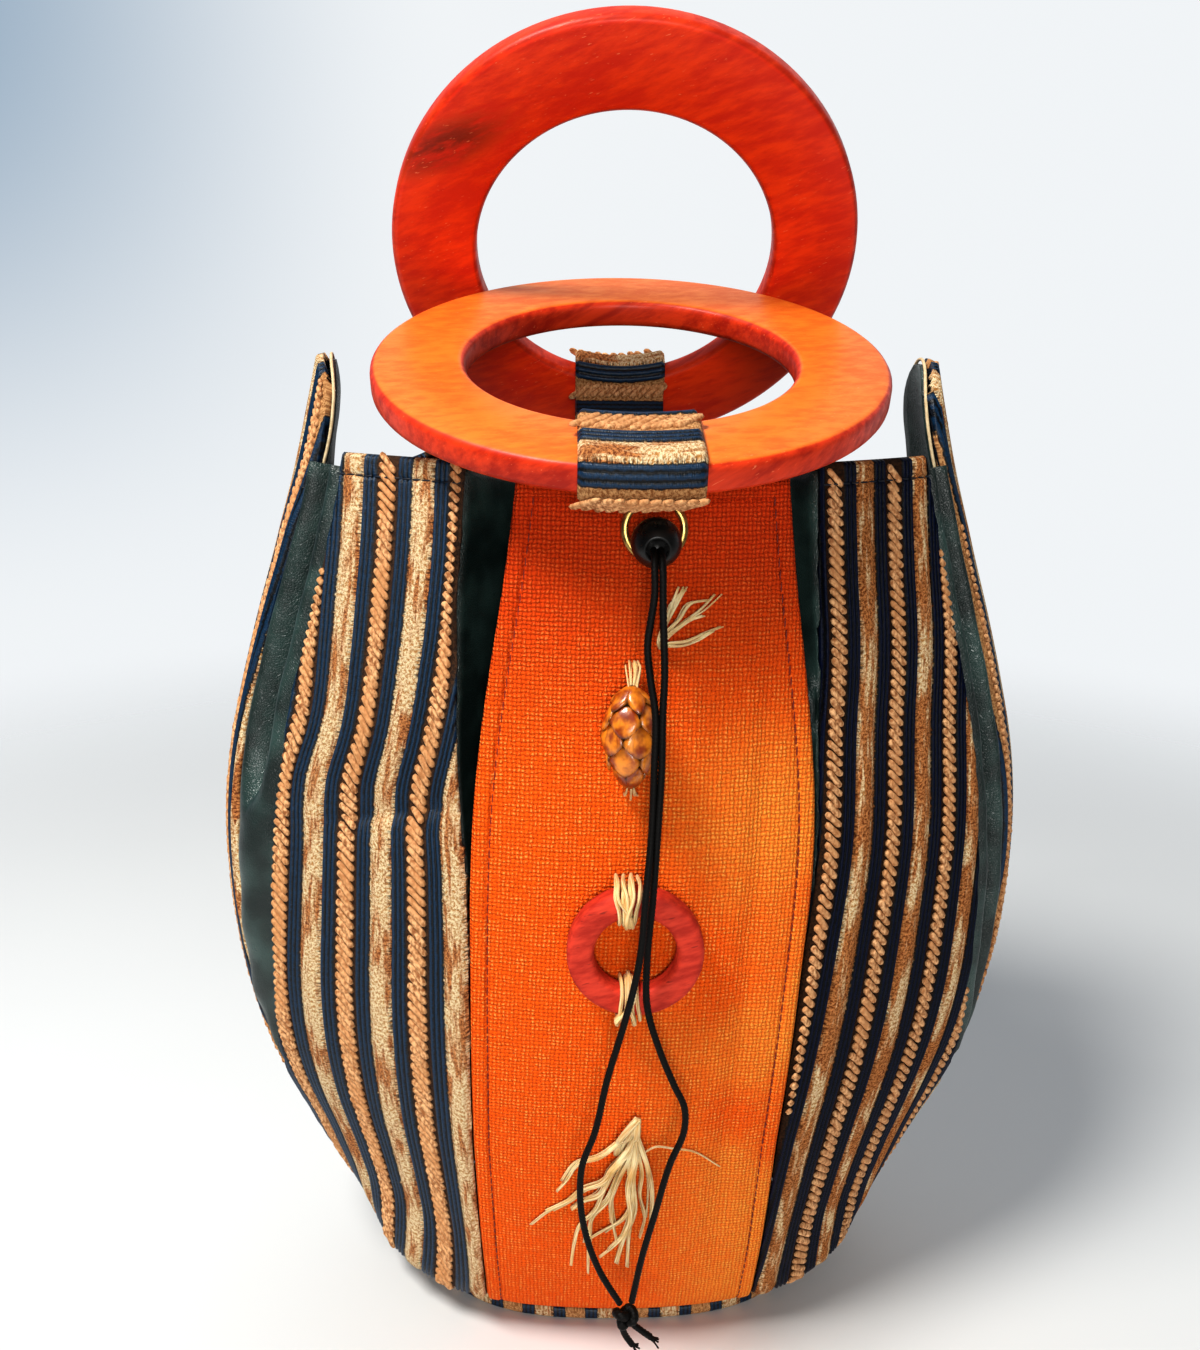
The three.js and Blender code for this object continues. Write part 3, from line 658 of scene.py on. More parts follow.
# A copy with painted shade for the right panels: a dimmer satin highlight, a darker braid bed and browner
# chenille.
striped_painted_shade = striped_finish("striped_cloth_painted_shade", "1c1008", "3c2515", "020d2a", 0.82, shine=0.12)
striped_flat = striped_finish("striped_cloth_flat", "8a5a30", "c79a68")

cloth_back = Finish("cloth_reverse", Roughness=0.85, Specular_IOR_Level=0.2)
grey = cloth_back.noise(cloth_back.stretched(cloth_back.on_cloth(), (0.9, 2.2, 1)), 1.0, 3)
cloth_back.put("Base Color", cloth_back.blend(grey, colour("030509"), colour("0d1422")))
cloth_back.bump(grey, 0.3)

tan_braid = Finish("tan_braid", Roughness=0.72, Specular_IOR_Level=0.3)
yarn = tan_braid.noise(tan_braid.stretched(tan_braid.on_object(), (1100, 1100, 700)), 1.0, 3)
shade = tan_braid.noise(tan_braid.on_object(), 70, 2)
tan = tan_braid.blend(tan_braid.spread(yarn, 0.32, 0.68), colour("8f5a30"), colour("e6b684"))
tan = tan_braid.blend(tan_braid.spread(shade, 0.35, 0.7, 0, 0.7), tan, colour("c28a58"))
tan_braid.put("Base Color", tan)
tan_braid.bump(yarn, 0.3)
print("stripes repeat every", REPEAT, "mm")

# %% Stripe relief
CHENILLE_KEYS = (-3.3, -3.05, -2.4, -1.3, 0, 1.3, 2.4, 3.05)
SATIN_KEYS = (0, 0.3, 0.7, 1.1)
STRIPE_KEYS = np.array(sorted(
    list(CHENILLE_KEYS)
    + [CHENILLE + SATIN_CORD * k + key for k in range(3) for key in SATIN_KEYS]
    + [SATIN, 8.3, 10.8, 13.3, REPEAT - SATIN]
    + [REPEAT - SATIN + SATIN_CORD * k + key for k in range(3) for key in SATIN_KEYS if k + key > 0]
))
EDGE_ROLL = 1.5
HEM = 6.0


def stripe_columns(first, last):
    """Columns at every ridge and groove of the repeats from first to last, cut off at the seams."""
    keys = np.concatenate([REPEAT * k + STRIPE_KEYS for k in range(first, last + 1)])
    return lambda low, high: np.clip(np.concatenate([[low], keys, [high]]), low, high)


def stripe_height(across):
    """How proud the weave stands, by the way across from a chenille's middle."""
    phase = np.abs((np.asarray(across, float) + REPEAT / 2) % REPEAT - REPEAT / 2)
    dome = 1.2 * np.clip(1 - (phase / CHENILLE) ** 2.6, 0, 1)
    cord = 0.05 + 0.9 * np.abs(np.sin(math.pi * (phase - CHENILLE) / SATIN_CORD))
    return np.where(phase < CHENILLE, dome, np.where(phase < SATIN, cord, 0.1))


def rolled(height, margin):
    """The weave's height, rolled inwards close to a seam."""
    flat = smooth_step(margin, 0, EDGE_ROLL)
    return height * flat - 0.9 * (1 - flat) ** 2


def striped_push(rim, hem=None):
    """The weave's relief on a panel, with the groove of its hem stitching where it has one."""
    def push(woven, margin, z):
        near = np.minimum(margin, rim - z + 0.2)
        groove = 1 - 0.85 * math.exp(-(((rim - z - hem) / 0.55) ** 2)) if hem else 1
        return rolled(stripe_height(woven) * groove, near)
    return push


print(len(STRIPE_KEYS), "columns in each repeat")

# %% [markdown]
# ## Braid lobes
# The braid is a row of fat slanting lobes, each one bulged at its ends with a gap to the next, which on the
# front and back panels is darkened by painted shade in the braid's bed. A bump would look painted on from
# the side, so a lobe of eighty faces is made once from an icosphere and stamped along every braid as one
# joined mesh, narrower where a seam cuts the braid and further apart towards the base.

# %% Braid lobes
LOBE_PITCH = 2.6
LOBE_GROWTH = 1.1
LOBE_SLANT = math.radians(45)
LOBE_HALF = 1.3
LOBE_RISE = 1.45
BRAID_HALF = REPEAT / 2 - SATIN
RIM = 293


def lobe_template():
    bm = bmesh.new()
    bmesh.ops.create_icosphere(bm, subdivisions=2, radius=1)
    for vert in bm.verts:
        x, y, z = vert.co
        x = math.copysign(abs(x) ** 0.7, x)
        knob = 0.62 + 0.56 * x * x
        vert.co = (x, y * knob, z * knob if z > 0 else 0.4 * z)
    return bm


def stamped(name, template, frames, finishes):
    """One joined mesh with the template at every frame of three directions and a place."""
    coords = np.array([vert.co for vert in template.verts])
    faces = [[vert.index for vert in face.verts] for face in template.faces]
    template.free()
    frames = np.array(frames)
    points = (coords @ frames[:, :3] + frames[:, 3:]) * MM
    count = len(coords)
    every = [[k * count + index for index in face] for k in range(len(frames)) for face in faces]
    mesh = bpy.data.meshes.new(name)
    mesh.from_pydata(points.reshape(-1, 3).tolist(), [], every)
    mesh.update()
    layer = mesh.uv_layers.new(name=CLOTH_MAP)
    corners = np.array([index % count for face in every for index in face])
    layer.data.foreach_set("uv", coords[corners][:, (0, 2)].astype(np.float32).ravel())
    return dressed(name, mesh, finishes)


def lobe_frame(stand, half, jitter, size):
    point, right, up, outward = stand
    slant = LOBE_SLANT + jitter.uniform(-0.1, 0.1)
    long = right * math.cos(slant) - up * math.sin(slant)
    short = np.cross(outward, long)
    rise = LOBE_RISE * jitter.uniform(0.88, 1.12) * min(1, 0.55 + half / 6)
    wide = size * LOBE_HALF * jitter.uniform(0.92, 1.08)
    return [long * 0.74 * half / math.cos(LOBE_SLANT), short * wide, outward * rise, point]


def braid_on(panel, repeats, seed, hem=None):
    """Frames of the lobes along every braid of a panel."""
    jitter = random.Random(seed)
    here = np.array([0.0])
    frames = []
    for k in range(repeats[0], repeats[1] + 1):
        z = panel.foot + 2.0
        while z < panel.rim - 2.0:
            pitch = LOBE_PITCH + LOBE_GROWTH * (1 - z / RIM)
            stretch = panel.stretch(z)
            middle = stretch * REPEAT * (k + 0.5) - panel.slide(z)
            arc = panel.row(z)[1]
            low = max(middle - BRAID_HALF * stretch, arc[0] + 0.6)
            high = min(middle + BRAID_HALF * stretch, arc[-1] - 0.6)
            sunk = 0.7 if hem and abs(panel.rim - z - hem) < 1.2 else 0.0
            if high - low > 1.6:
                stand = panel.stand((low + high) / 2, z, 0.2 - sunk)
                frames.append(lobe_frame(stand, (high - low) / 2, jitter, pitch / LOBE_PITCH))
            rise = panel.place(here, z + 1, here) - panel.place(here, z, here)
            z += pitch / float(np.linalg.norm(rise))
    return frames


print("a lobe is", round(2 * BRAID_HALF, 1), "mm wide")

# %% [markdown]
# ## Striped panels
# Four striped panels stand between the front, the back and the sides. In the photograph the left one is
# pinched about two thirds of the way up, which dents it and makes its stripes lean to the front above. The
# dent is pushed into the surface. A table of heights says how far a chenille lies from the front edge,
# which gives the lean, and another says how wide the stripes spread.

# %% Striped panels
CLOTH = 2.2
PANEL_FOOT = 5
ROW = 4.0
FLATNESS = {"front_left": 0.8}
STRETCH = {
    "front_left": knots([
        (40, 1.34), (75, 1.32), (125, 1.24), (190, 1.08), (218, 1.03), (250, 1.1), (293, 1.1)]),
    "front_right": knots([(40, 1.16), (125, 1.12), (190, 1.0), (293, 1.0)]),
}
PINCH_DEPTH = 3.2
PINCH_ROWS = np.arange(178, 210, 1.2)
LEFT_CHENILLE = knots([
    (20, 1.2), (60, 2.2), (90, 3.0), (125, 3.8), (150, 3.9), (186, 3.4), (195, 2.9), (201, 2.1), (206, 0.6),
    (213, -1.8), (220, -3.9), (235, -7.4), (250, -10.6), (262, -11.8), (293, -11.0)])
RIGHT_CHENILLE = knots([
    (20, 4.6), (40, 6.2), (75, 8.6), (108, 11.3), (150, 13.8), (197, 14.6), (212, 15.0), (242, 16.0),
    (280, 15.4)])
FROM_EDGE = {"front_left": LEFT_CHENILLE, "front_right": RIGHT_CHENILLE}
PANEL_EDGES = {"front_left": left_edges, "front_right": right_edges}
REPEATS = (-2, 5)


def pinch(across, margin, z):
    """A crease that runs down towards the side: the cloth sinks slowly above it and springs out under it."""
    crease = z - 191 + 0.26 * across
    fall = np.exp(-np.abs(crease / np.where(crease > 0, 22.0, 3.0)))
    return PINCH_DEPTH * fall * (1 - smooth_step(across, -8, 20)) * (0.3 + 0.7 * smooth_step(margin, 0, 10))


def heights(foot, rim, extra=()):
    """Rows of a panel, closer together at its hem and rim and at the extra heights."""
    top = rim - np.array([9, 7.5, 6.8, 6.4, 6, 5.6, 5.2, 4.4, 3.2, 2.2, 1.4, 0.8, 0.4, 0])
    return np.unique(np.concatenate([np.arange(foot, rim - 10, ROW), top, np.asarray(extra, float)]))


BAG_MIDDLE = (0, 0, 150)


def sewn_piece(name, grid, finishes, node, thickness):
    """A sheet of points with its cloth map, as a piece that faces away from the bag's middle."""
    bm = bmesh.new()
    add_grid(bm, *grid)
    piece = finished(name, bm, finishes, nodes=[node], centre=BAG_MIDDLE)
    thicken(piece, thickness, reverse=len(finishes) - 1)


def stitch_template():
    bm = bmesh.new()
    bmesh.ops.create_uvsphere(bm, u_segments=6, v_segments=4, radius=1)
    return bm


navy_thread = Finish("navy_thread", Roughness=0.5)
ply = navy_thread.noise(navy_thread.on_object(), 1500, 2)
navy_thread.put("Base Color", navy_thread.blend(ply, colour("05070d"), colour("1a2233")))
STITCH_STEP = 3.2


def hem_stitches(panel, hem):
    """Stitches in the hem's groove, end to end across the panel."""
    z = panel.rim - hem
    arc = panel.row(z)[1]
    frames = []
    for across in np.arange(arc[0] + 2, arc[-1] - 1.5, STITCH_STEP):
        point, right, up, outward = panel.stand(across, z, 0.35)
        frames.append([outward * 0.25, up * 0.28, right * STITCH_STEP * 0.46, point])
    return frames


print("stitches", STITCH_STEP, "mm apart")

# %% Sewing the striped panels
for front, front_name in ((1, "front"), (-1, "back")):
    for right, side_name in ((-1, "left"), (1, "right")):
        place = front_name + "_" + side_name
        pinched = place == "front_left"
        panel = Panel(
            PANEL_FOOT, RIM, PANEL_EDGES.get(place, striped_edges), mirrored(right, front), 7.0,
            FROM_EDGE.get(place), pinch if pinched else None, FLATNESS.get(place, 0.55), STRETCH.get(place))
        rows = heights(PANEL_FOOT, RIM, PINCH_ROWS if pinched else ())
        grid = panel.sewn(rows, stripe_columns(*REPEATS), striped_push(RIM, HEM))
        # The right panels take the copy with painted shade.
        finish = striped_painted_shade if right > 0 else striped
        sewn_piece(
            "striped_" + place, grid, [finish, cloth_back], "striped_panel_" + place, CLOTH)
        lobes = braid_on(panel, REPEATS, place, HEM)
        stamped("braid_" + place, lobe_template(), lobes, [tan_braid])
        stamped("hem_" + place, stitch_template(), hem_stitches(panel, HEM), [navy_thread])

back = Panel(PANEL_FOOT, RIM, front_edges, mirrored(1, -1))
grid = back.sewn(heights(PANEL_FOOT, RIM), stripe_columns(-4, 4), striped_push(RIM, HEM))
sewn_piece("striped_back", grid, [striped, cloth_back], "back_panel", CLOTH)
stamped("braid_back", lobe_template(), braid_on(back, (-4, 3), "back", HEM), [tan_braid])
stamped("hem_back", stitch_template(), hem_stitches(back, HEM), [navy_thread])

# %% [markdown]
# ## Side panels and ears
# Each side panel is a narrow striped leaf that runs up past the rim into a pointed ear. The ear turns a
# little to the front, and is lined with leather, with a pale seam along its edge. A straight tube would
# miss the ear's outline, so the seam follows the panel's own edges up one side, over the tip and down the
# other.

# %% Side panels
SIDE_PANEL_FOOT = 13
EAR_CLOTH = 3.2
EAR_TIP = 319
EAR_TWIST = {"left": -8, "right": -4}
EAR_TWIST_FOOT = 266
EAR_TWIST_HEAD = 296
SIDE_OFFSETS = {"left": -5.2, "right": -12.6}


def ear_turn(right, twist):
    """Mirrors a side panel to its side and turns its ear about an upright line."""
    def turn(points):
        z = float(points.reshape(-1, 3)[:, 2].mean())
        centre = section(z)[0]
        angle = math.radians(twist) * float(smooth_step(z, EAR_TWIST_FOOT, EAR_TWIST_HEAD))
        x = points[..., 0] - centre
        y = points[..., 1]
        turned_x = centre + x * math.cos(angle) - y * math.sin(angle)
        turned_y = x * math.sin(angle) + y * math.cos(angle)
        return np.stack([right * turned_x, turned_y, points[..., 2]], -1)
    return turn


ears = {}
for right, side_name in ((-1, "left"), (1, "right")):
    edges = tucked_side_edges if side_name == "left" else side_edges
    turn = ear_turn(right, EAR_TWIST[side_name])
    panel = Panel(SIDE_PANEL_FOOT, EAR_TIP, edges, turn, SIDE_OFFSETS[side_name])
    ears[side_name] = panel
    grid = panel.sewn(heights(SIDE_PANEL_FOOT, EAR_TIP), stripe_columns(-2, 3), striped_push(EAR_TIP))
    sewn_piece(
        "side_" + side_name, grid, [striped_flat, cloth_back],
        "side_panel_" + side_name, EAR_CLOTH)
    lobes = braid_on(panel, (-2, 2), side_name)
    stamped("braid_side_" + side_name, lobe_template(), lobes, [tan_braid])

# %% [markdown]
# ## Leather
# The gussets and the ears' linings are a dark, slightly green leather with a fine grain and a dull sheen.
# Voronoi cells give the grain its small plates, and a wide noise makes worn places a little lighter and
# smoother.

# %% Leather finish
leather = Finish("gusset_leather", Specular_IOR_Level=0.5)
hide = leather.on_object()
wobble = leather.noise(hide, 500, 2)
cells = leather.node("TexVoronoi", {"Vector": hide, "Scale": 1300.0}, feature="DISTANCE_TO_EDGE").outputs[0]
wear = leather.noise(hide, 60, 3)
leather.put("Base Color", leather.blend(leather.spread(wear, 0.35, 0.7), colour("12201e"), colour("344a46")))
leather.put("Roughness", leather.spread(wear, 0.3, 0.75, 0.4, 0.27))
leather.bump(leather.sums("MULTIPLY_ADD", wobble, 0.6, leather.spread(cells, 0, 0.25)), 0.07)
print("leather ready")

# %% [markdown]
# ## Gussets
# A gusset is a leather pleat that lets the mouth open. It is sewn behind the edges of two panels and folds
# inwards between them in two rounded legs with a deep crease. A plain strip would look like a gap, so the
# fold is part of the surface: shallow by the seams, steep at the crease, with small wrinkles across it.

# %% Gussets
LEATHER = 1.3
LAP = 5
FRONT_GUSSET_RIMS = {1: 291, -1: 287}
SIDE_GUSSET_RIM = 289
FRONT_GUSSET_FOOT = 174
SIDE_GUSSET_FOOT = 64
FRONT_FOLD = 6
SIDE_FOLD = 7
FRONT_CREASE = (0.75, 0.0)
SIDE_CREASE = (3.0, 4.5)
BEHIND = CLOTH + GAP


def closed_pleat(z):
    return 0.0


def left_side_puff(z):
    """The left side's pleat is folded at the top and swells into one smooth round below."""
    return float((1 - smooth_step(z, 182, 212)) * smooth_step(z, 72, 120))


def front_right_puff(z):
    """The right front pleat bulges out between the panels about three quarters of the way up."""
    return math.exp(-(((z - 227) / 21) ** 2))


PUFFS = {"pleat_front_right": front_right_puff, "side_pleat_front_left": left_side_puff}


def gusset_row(z, first, last, fold, seed, opened, sharpness, bulge):
    """One row of a gusset, from behind one panel to behind the next."""
    share = np.linspace(0, 1, 33)
    angles = first + (last - first) * share
    gap = np.linalg.norm(skin(z, angles[:1]) - skin(z, angles[-1:]))
    crease = (1 - np.abs(2 * share - 1)) ** sharpness
    legs = bulge * np.sin(2 * math.pi * share) ** 2 * min(1, gap / 9)
    wrinkle = 0.7 * np.sin(z / 5.5 + seed + 3 * share) * np.sin(z / 13 + 2 * seed)
    wrinkle = wrinkle * np.sin(math.pi * share) ** 2
    deep = fold if bulge else 1.6 * fold
    folded = np.maximum(deep - BEHIND, 0) * crease - legs
    swollen = -min(5.0, 0.36 * gap) * np.sin(math.pi * share) ** 1.2
    depth = BEHIND + folded * (1 - opened) + swollen * opened + wrinkle * min(1, gap / 10)
    stride = np.linalg.norm(skin(z, angles[:1] + 0.01) - skin(z, angles[:1]))
    lap = LAP * 0.01 / stride
    angles = np.concatenate([[first - lap, first - lap / 2], angles, [last + lap / 2, last + lap]])
    depth = np.concatenate([[BEHIND, BEHIND], depth, [BEHIND, BEHIND]])
    return skin(z, angles) - skin_normal(z, angles) * depth[:, None]


def add_gusset(name, node, heights, edges, fold_column, right, front, seed, sharpness, bulge):
    opened = PUFFS.get(name, closed_pleat)
    foot, rim = heights
    rows = np.concatenate([np.arange(foot, rim - 1, 2.5), [rim]])
    points = np.array([
        gusset_row(z, *edges(z), section(z)[fold_column], seed, opened(z), sharpness, bulge) for z in rows])
    sewn_piece(name, (mirrored(right, front)(points), None), [leather], node, LEATHER)


FRONT_GAPS = {
    "front_left": lambda z: (-drifted_edges(z)[0], left_edges(z)[0]),
    "front_right": lambda z: (drifted_edges(z)[1], right_edges(z)[0]),
}
SIDE_GAPS = {"front_left": lambda z: (left_edges(z)[1], tucked_side_edges(z)[0])}


def front_gap(z):
    return front_edges(z)[1], striped_edges(z)[0]


def side_gap(z):
    return striped_edges(z)[1], side_edges(z)[0]


seed = 0
for front, front_name in ((1, "front"), (-1, "back")):
    for right, side_name in ((-1, "left"), (1, "right")):
        place = front_name + "_" + side_name
        seed += 1
        add_gusset(
            "pleat_" + place, "gusset_" + place, (FRONT_GUSSET_FOOT, FRONT_GUSSET_RIMS[front]),
            FRONT_GAPS.get(place, front_gap), FRONT_FOLD, right, front, seed, *FRONT_CREASE)
        add_gusset(
            "side_pleat_" + place, "side_gusset_" + place, (SIDE_GUSSET_FOOT, SIDE_GUSSET_RIM),
            SIDE_GAPS.get(place, side_gap), SIDE_FOLD, right, front, seed + 0.5, *SIDE_CREASE)

# %% [markdown]
# ## Ear linings and seams
# Inside each ear the leather shows, and the cut edges of cloth and leather meet in a pale seam.

# %% Ear linings
LINING_FOOT = 284
LINING_INSET = 1
SEAM_RADIUS = 0.5
PAST_EDGE = 80.0

pale_seam = Finish("pale_seam", Roughness=0.85)
fray = pale_seam.noise(pale_seam.on_object(), 700, 3)
pale_seam.put("Base Color", pale_seam.blend(fray, colour("a98b5f"), colour("efe0bb")))
pale_seam.bump(fray, 0.3)


def lining_edges(z):
    return side_edges(z, LINING_INSET)


def round_seam(angle, run):
    """The seam's round section, the same all along it."""
    return SEAM_RADIUS * np.cos(angle) + 0 * run, SEAM_RADIUS * np.sin(angle) + 0 * run


for right, side_name in ((-1, "left"), (1, "right")):
    ear = ears[side_name]
    lining = Panel(LINING_FOOT, EAR_TIP - 1, lining_edges, ear.turn)
    points, cloth = lining.sewn(
        np.linspace(LINING_FOOT, EAR_TIP - 1, 14), lambda low, high: np.linspace(low, high, 15),
        lambda across, margin, z: np.full_like(across, -EAR_CLOTH - 0.1))
    bm = bmesh.new()
    add_grid(bm, points, cloth)
    piece = finished(
        "ear_lining_" + side_name, bm, [leather], nodes=["ear_lining_" + side_name],
        centre=(0, 0, 300))
    thicken(piece, LEATHER)
    rise = np.linspace(LINING_FOOT - 6, EAR_TIP, 16)
    inside = np.array([-EAR_CLOTH])
    ends = [[ear.place(np.array([hand * PAST_EDGE]), z, inside)[0] for z in rise] for hand in (-1, 1)]
    edge = route_through(np.array(ends[0] + ends[1][::-1]), 0.8)
    bm = bmesh.new()
    add_tube(bm, edge, round_seam, (right, 0.01, 0.02), 8)
    finished("ear_seam_" + side_name, bm, [pale_seam])

# %% [markdown]
# ## Orange front panel
# The front is one plain panel of bright basket weave with threads about a millimetre apart. Real threads
# would be far too many faces, so the material weaves them: two sets of round yarns on the cloth's map pass
# over and under each other by turns, bent a little by noise so that they look spun. The gaps between them
# are painted darker and redder as shade, and the crests get a painted highlight. Near the rim the cloth is
# painted darker and redder as the rings' shadow, and a patch on the right gets a painted pool of light. A
# row of stitching runs in a groove along each side.

# %% Orange cloth finish
THREAD = 1.22

orange = Finish("orange_cloth", Roughness=0.9, Specular_IOR_Level=0.12)
weft = orange.on_cloth()
uneven = orange.node("TexNoise", {
    "Vector": orange.stretched(weft, (0.45, 0.45, 1)), "Scale": 1.0, "Detail": 3.0}).outputs[1]
bent = orange.node("VectorMath", {0: uneven, 1: (1.3, 1.3, 0)}, operation="MULTIPLY").outputs[0]
bent = orange.node("VectorMath", {0: weft, 1: bent}, operation="ADD").outputs[0]
ways = orange.node("SeparateXYZ", {"Vector": bent})
over = [
    orange.sums("SINE", orange.sums("MULTIPLY", ways.outputs[axis], math.pi / THREAD)) for axis in ("X", "Y")]


def yarn_height(across, along, lift):
    """A yarn's round section, lifted and lowered by turns as it passes over and under."""
    section_height = orange.sums("POWER", orange.sums("ABSOLUTE", across), 0.7)
    passing = orange.sums("MULTIPLY", orange.sums("SIGN", across), along)
    return orange.sums("MULTIPLY", section_height, orange.sums("MULTIPLY_ADD", passing, lift, 0.55))


bumps = orange.sums("MAXIMUM", yarn_height(over[0], over[1], 0.45), yarn_height(over[1], over[0], -0.45))
slub = orange.noise(orange.stretched(weft, (0.13, 0.9, 1)), 1.0, 3)
slub_across = orange.noise(orange.stretched(weft, (0.9, 0.13, 1)), 1.0, 3)
yarns = orange.sums("MULTIPLY", orange.sums("ADD", slub, slub_across), 0.5)
relief = orange.sums("MULTIPLY", bumps, orange.spread(yarns, 0.35, 0.65, 0.7, 1.15))
# Painted shade in the gaps between the yarns, and a painted highlight on their crests.
ground = orange.blend(orange.spread(relief, 0.05, 0.42), colour("b52802"), colour("ee600e"))
ground = orange.blend(orange.spread(relief, 0.7, 1.1), ground, colour("ffa04c"))
where = orange.node("SeparateXYZ", {"Vector": orange.on_object()})
# Painted shadow of the rings: the top of the panel is painted darker and redder.
painted_rim_shade = orange.spread(where.outputs["Z"], 0.2, 0.285, 0, 0.85)
ground = orange.blend(painted_rim_shade, ground, orange.blend(relief, colour("8a1200"), colour("d43a0c")))
# A painted pool of light on the right, lighter and yellower, fading out towards the top.
painted_light_patch = orange.noise(orange.on_object(), 16, 2)
light_patch_to_right = orange.spread(where.outputs["X"], -0.01, 0.045, 0, 0.75)
painted_light_patch = orange.sums("MULTIPLY", orange.spread(painted_light_patch, 0.38, 0.62), light_patch_to_right)
painted_light_patch = orange.sums("MULTIPLY", painted_light_patch, orange.spread(where.outputs["Z"], 0.24, 0.2))
painted_lit_orange = orange.blend(relief, colour("d8560a"), colour("ffb046"))
orange.put("Base Color", orange.blend(painted_light_patch, ground, painted_lit_orange))
orange.bump(relief, 0.7)

stitch_thread = Finish("stitch_thread", Roughness=0.6)
ply = stitch_thread.noise(stitch_thread.on_object(), 1500, 2)
stitch_thread.put("Base Color", stitch_thread.blend(ply, colour("5c0f02"), colour("932407")))
print("threads", THREAD, "mm apart")

# %% Orange front panel
FRONT_RIM = 289
STITCH_IN = 5.1
MARGINS = np.array([0, 0.3, 0.7, 1.2, 2.0, 3.2, 4.2, 4.6, 4.85, 5.1, 5.35, 5.6, 6.1, 7.5])


def orange_columns(low, high):
    between = np.linspace(low + 10, high - 10, 44)
    return np.concatenate([low + MARGINS, between, (high - MARGINS)[::-1]])


def orange_push(across, margin, z):
    """A sewn edge strip, its stitch groove, one soft crease and a slack surface."""
    near = np.minimum(margin, FRONT_RIM - z + 0.1)
    strip = 0.35 * (1 - smooth_step(near, 4.3, 5.0))
    groove = -0.45 * np.exp(-(((near - STITCH_IN) / 0.4) ** 2))
    turned = -1.3 * (1 - smooth_step(near, 0, 1.6)) ** 2
    crease = -1.0 * np.exp(-(((across - 31 - 0.02 * (z - 150)) / 3.2) ** 2)) * smooth_step(z, 20, 90)
    slack = 0.35 * np.sin(across / 9 + z / 37) * np.sin(z / 23 - across / 41) * smooth_step(margin, 4, 16)
    return strip + groove + turned + crease * (1 - smooth_step(z, 200, 260)) + slack


front = Panel(PANEL_FOOT, FRONT_RIM, drifted_edges, mirrored(1, 1))
rows = np.concatenate([np.arange(PANEL_FOOT, FRONT_RIM - 8, 3.2), FRONT_RIM - MARGINS[::-1]])
grid = front.sewn(rows, orange_columns, orange_push)
sewn_piece("orange_front", grid, [orange, cloth_back], "front_panel", CLOTH)

frames = []
for hand in (-1, 1):
    for z in np.arange(PANEL_FOOT + 3, FRONT_RIM - 5, STITCH_STEP):
        edge = front.row(z)[1][-1] - STITCH_IN
        point, right, up, outward = front.stand(hand * edge, z, -0.2)
        frames.append([right * 0.24, outward * 0.2, up * STITCH_STEP * 0.46, point])
stamped("orange_stitches", stitch_template(), frames, [stitch_thread])

# %% [markdown]
# ## Base
# The bag stands on a small stiff base covered in the same stripes, which run from front to back. Only its
# edge shows from the front. It starts as a filled circle, takes the skin's outline, is extruded down to the
# floor, and its edges are bevelled.

# %% Base
BASE_HEIGHT = 4.6
BASE_POINTS = 96

bm = bmesh.new()
layer = bm.loops.layers.uv.new(CLOTH_MAP)
made = bmesh.ops.create_circle(bm, cap_ends=True, segments=BASE_POINTS, radius=1)["verts"]
outline = skin(PANEL_FOOT, np.linspace(0, 2 * math.pi, BASE_POINTS, endpoint=False))
for vert, point in zip(made, outline):
    vert.co = Vector((point[0], point[1], BASE_HEIGHT)) * MM
lowered = bmesh.ops.extrude_face_region(bm, geom=bm.faces[:])["geom"]
bmesh.ops.translate(
    bm, verts=[v for v in lowered if isinstance(v, bmesh.types.BMVert)], vec=(0, 0, -BASE_HEIGHT * MM))
bmesh.ops.recalc_face_normals(bm, faces=bm.faces[:])
rims = [edge for edge in bm.edges if len(edge.link_faces) == 2 and edge.calc_face_angle() > 1]
bmesh.ops.bevel(bm, geom=rims, offset=1.5 * MM, segments=3, profile=0.5, affect="EDGES", material=-1)
for face in bm.faces:
    for loop in face.loops:
        loop[layer].uv = (loop.vert.co.x / MM + 4, loop.vert.co.y / MM - loop.vert.co.z / MM)
finished("striped_base", bm, [striped_flat], nodes=["base"])

# %% [markdown]
# ## Wooden rings
# Each handle is a turned wooden ring of square section with eased edges, stained orange-red and varnished.
# A torus would be too round, so four corners of the section are spun about the ring's axis and the edges
# bevelled. The grain runs straight through the wood, so its noise is stretched along one direction of the
# object.
# The flat faces carry painted light: they are painted lighter and more orange than the walls, as lit by the
# lamps.

# %% Wood finishes
GRAIN_TURN = (0, math.radians(27), 0)
STREAK_CENTRE = (-47, 14, 384)


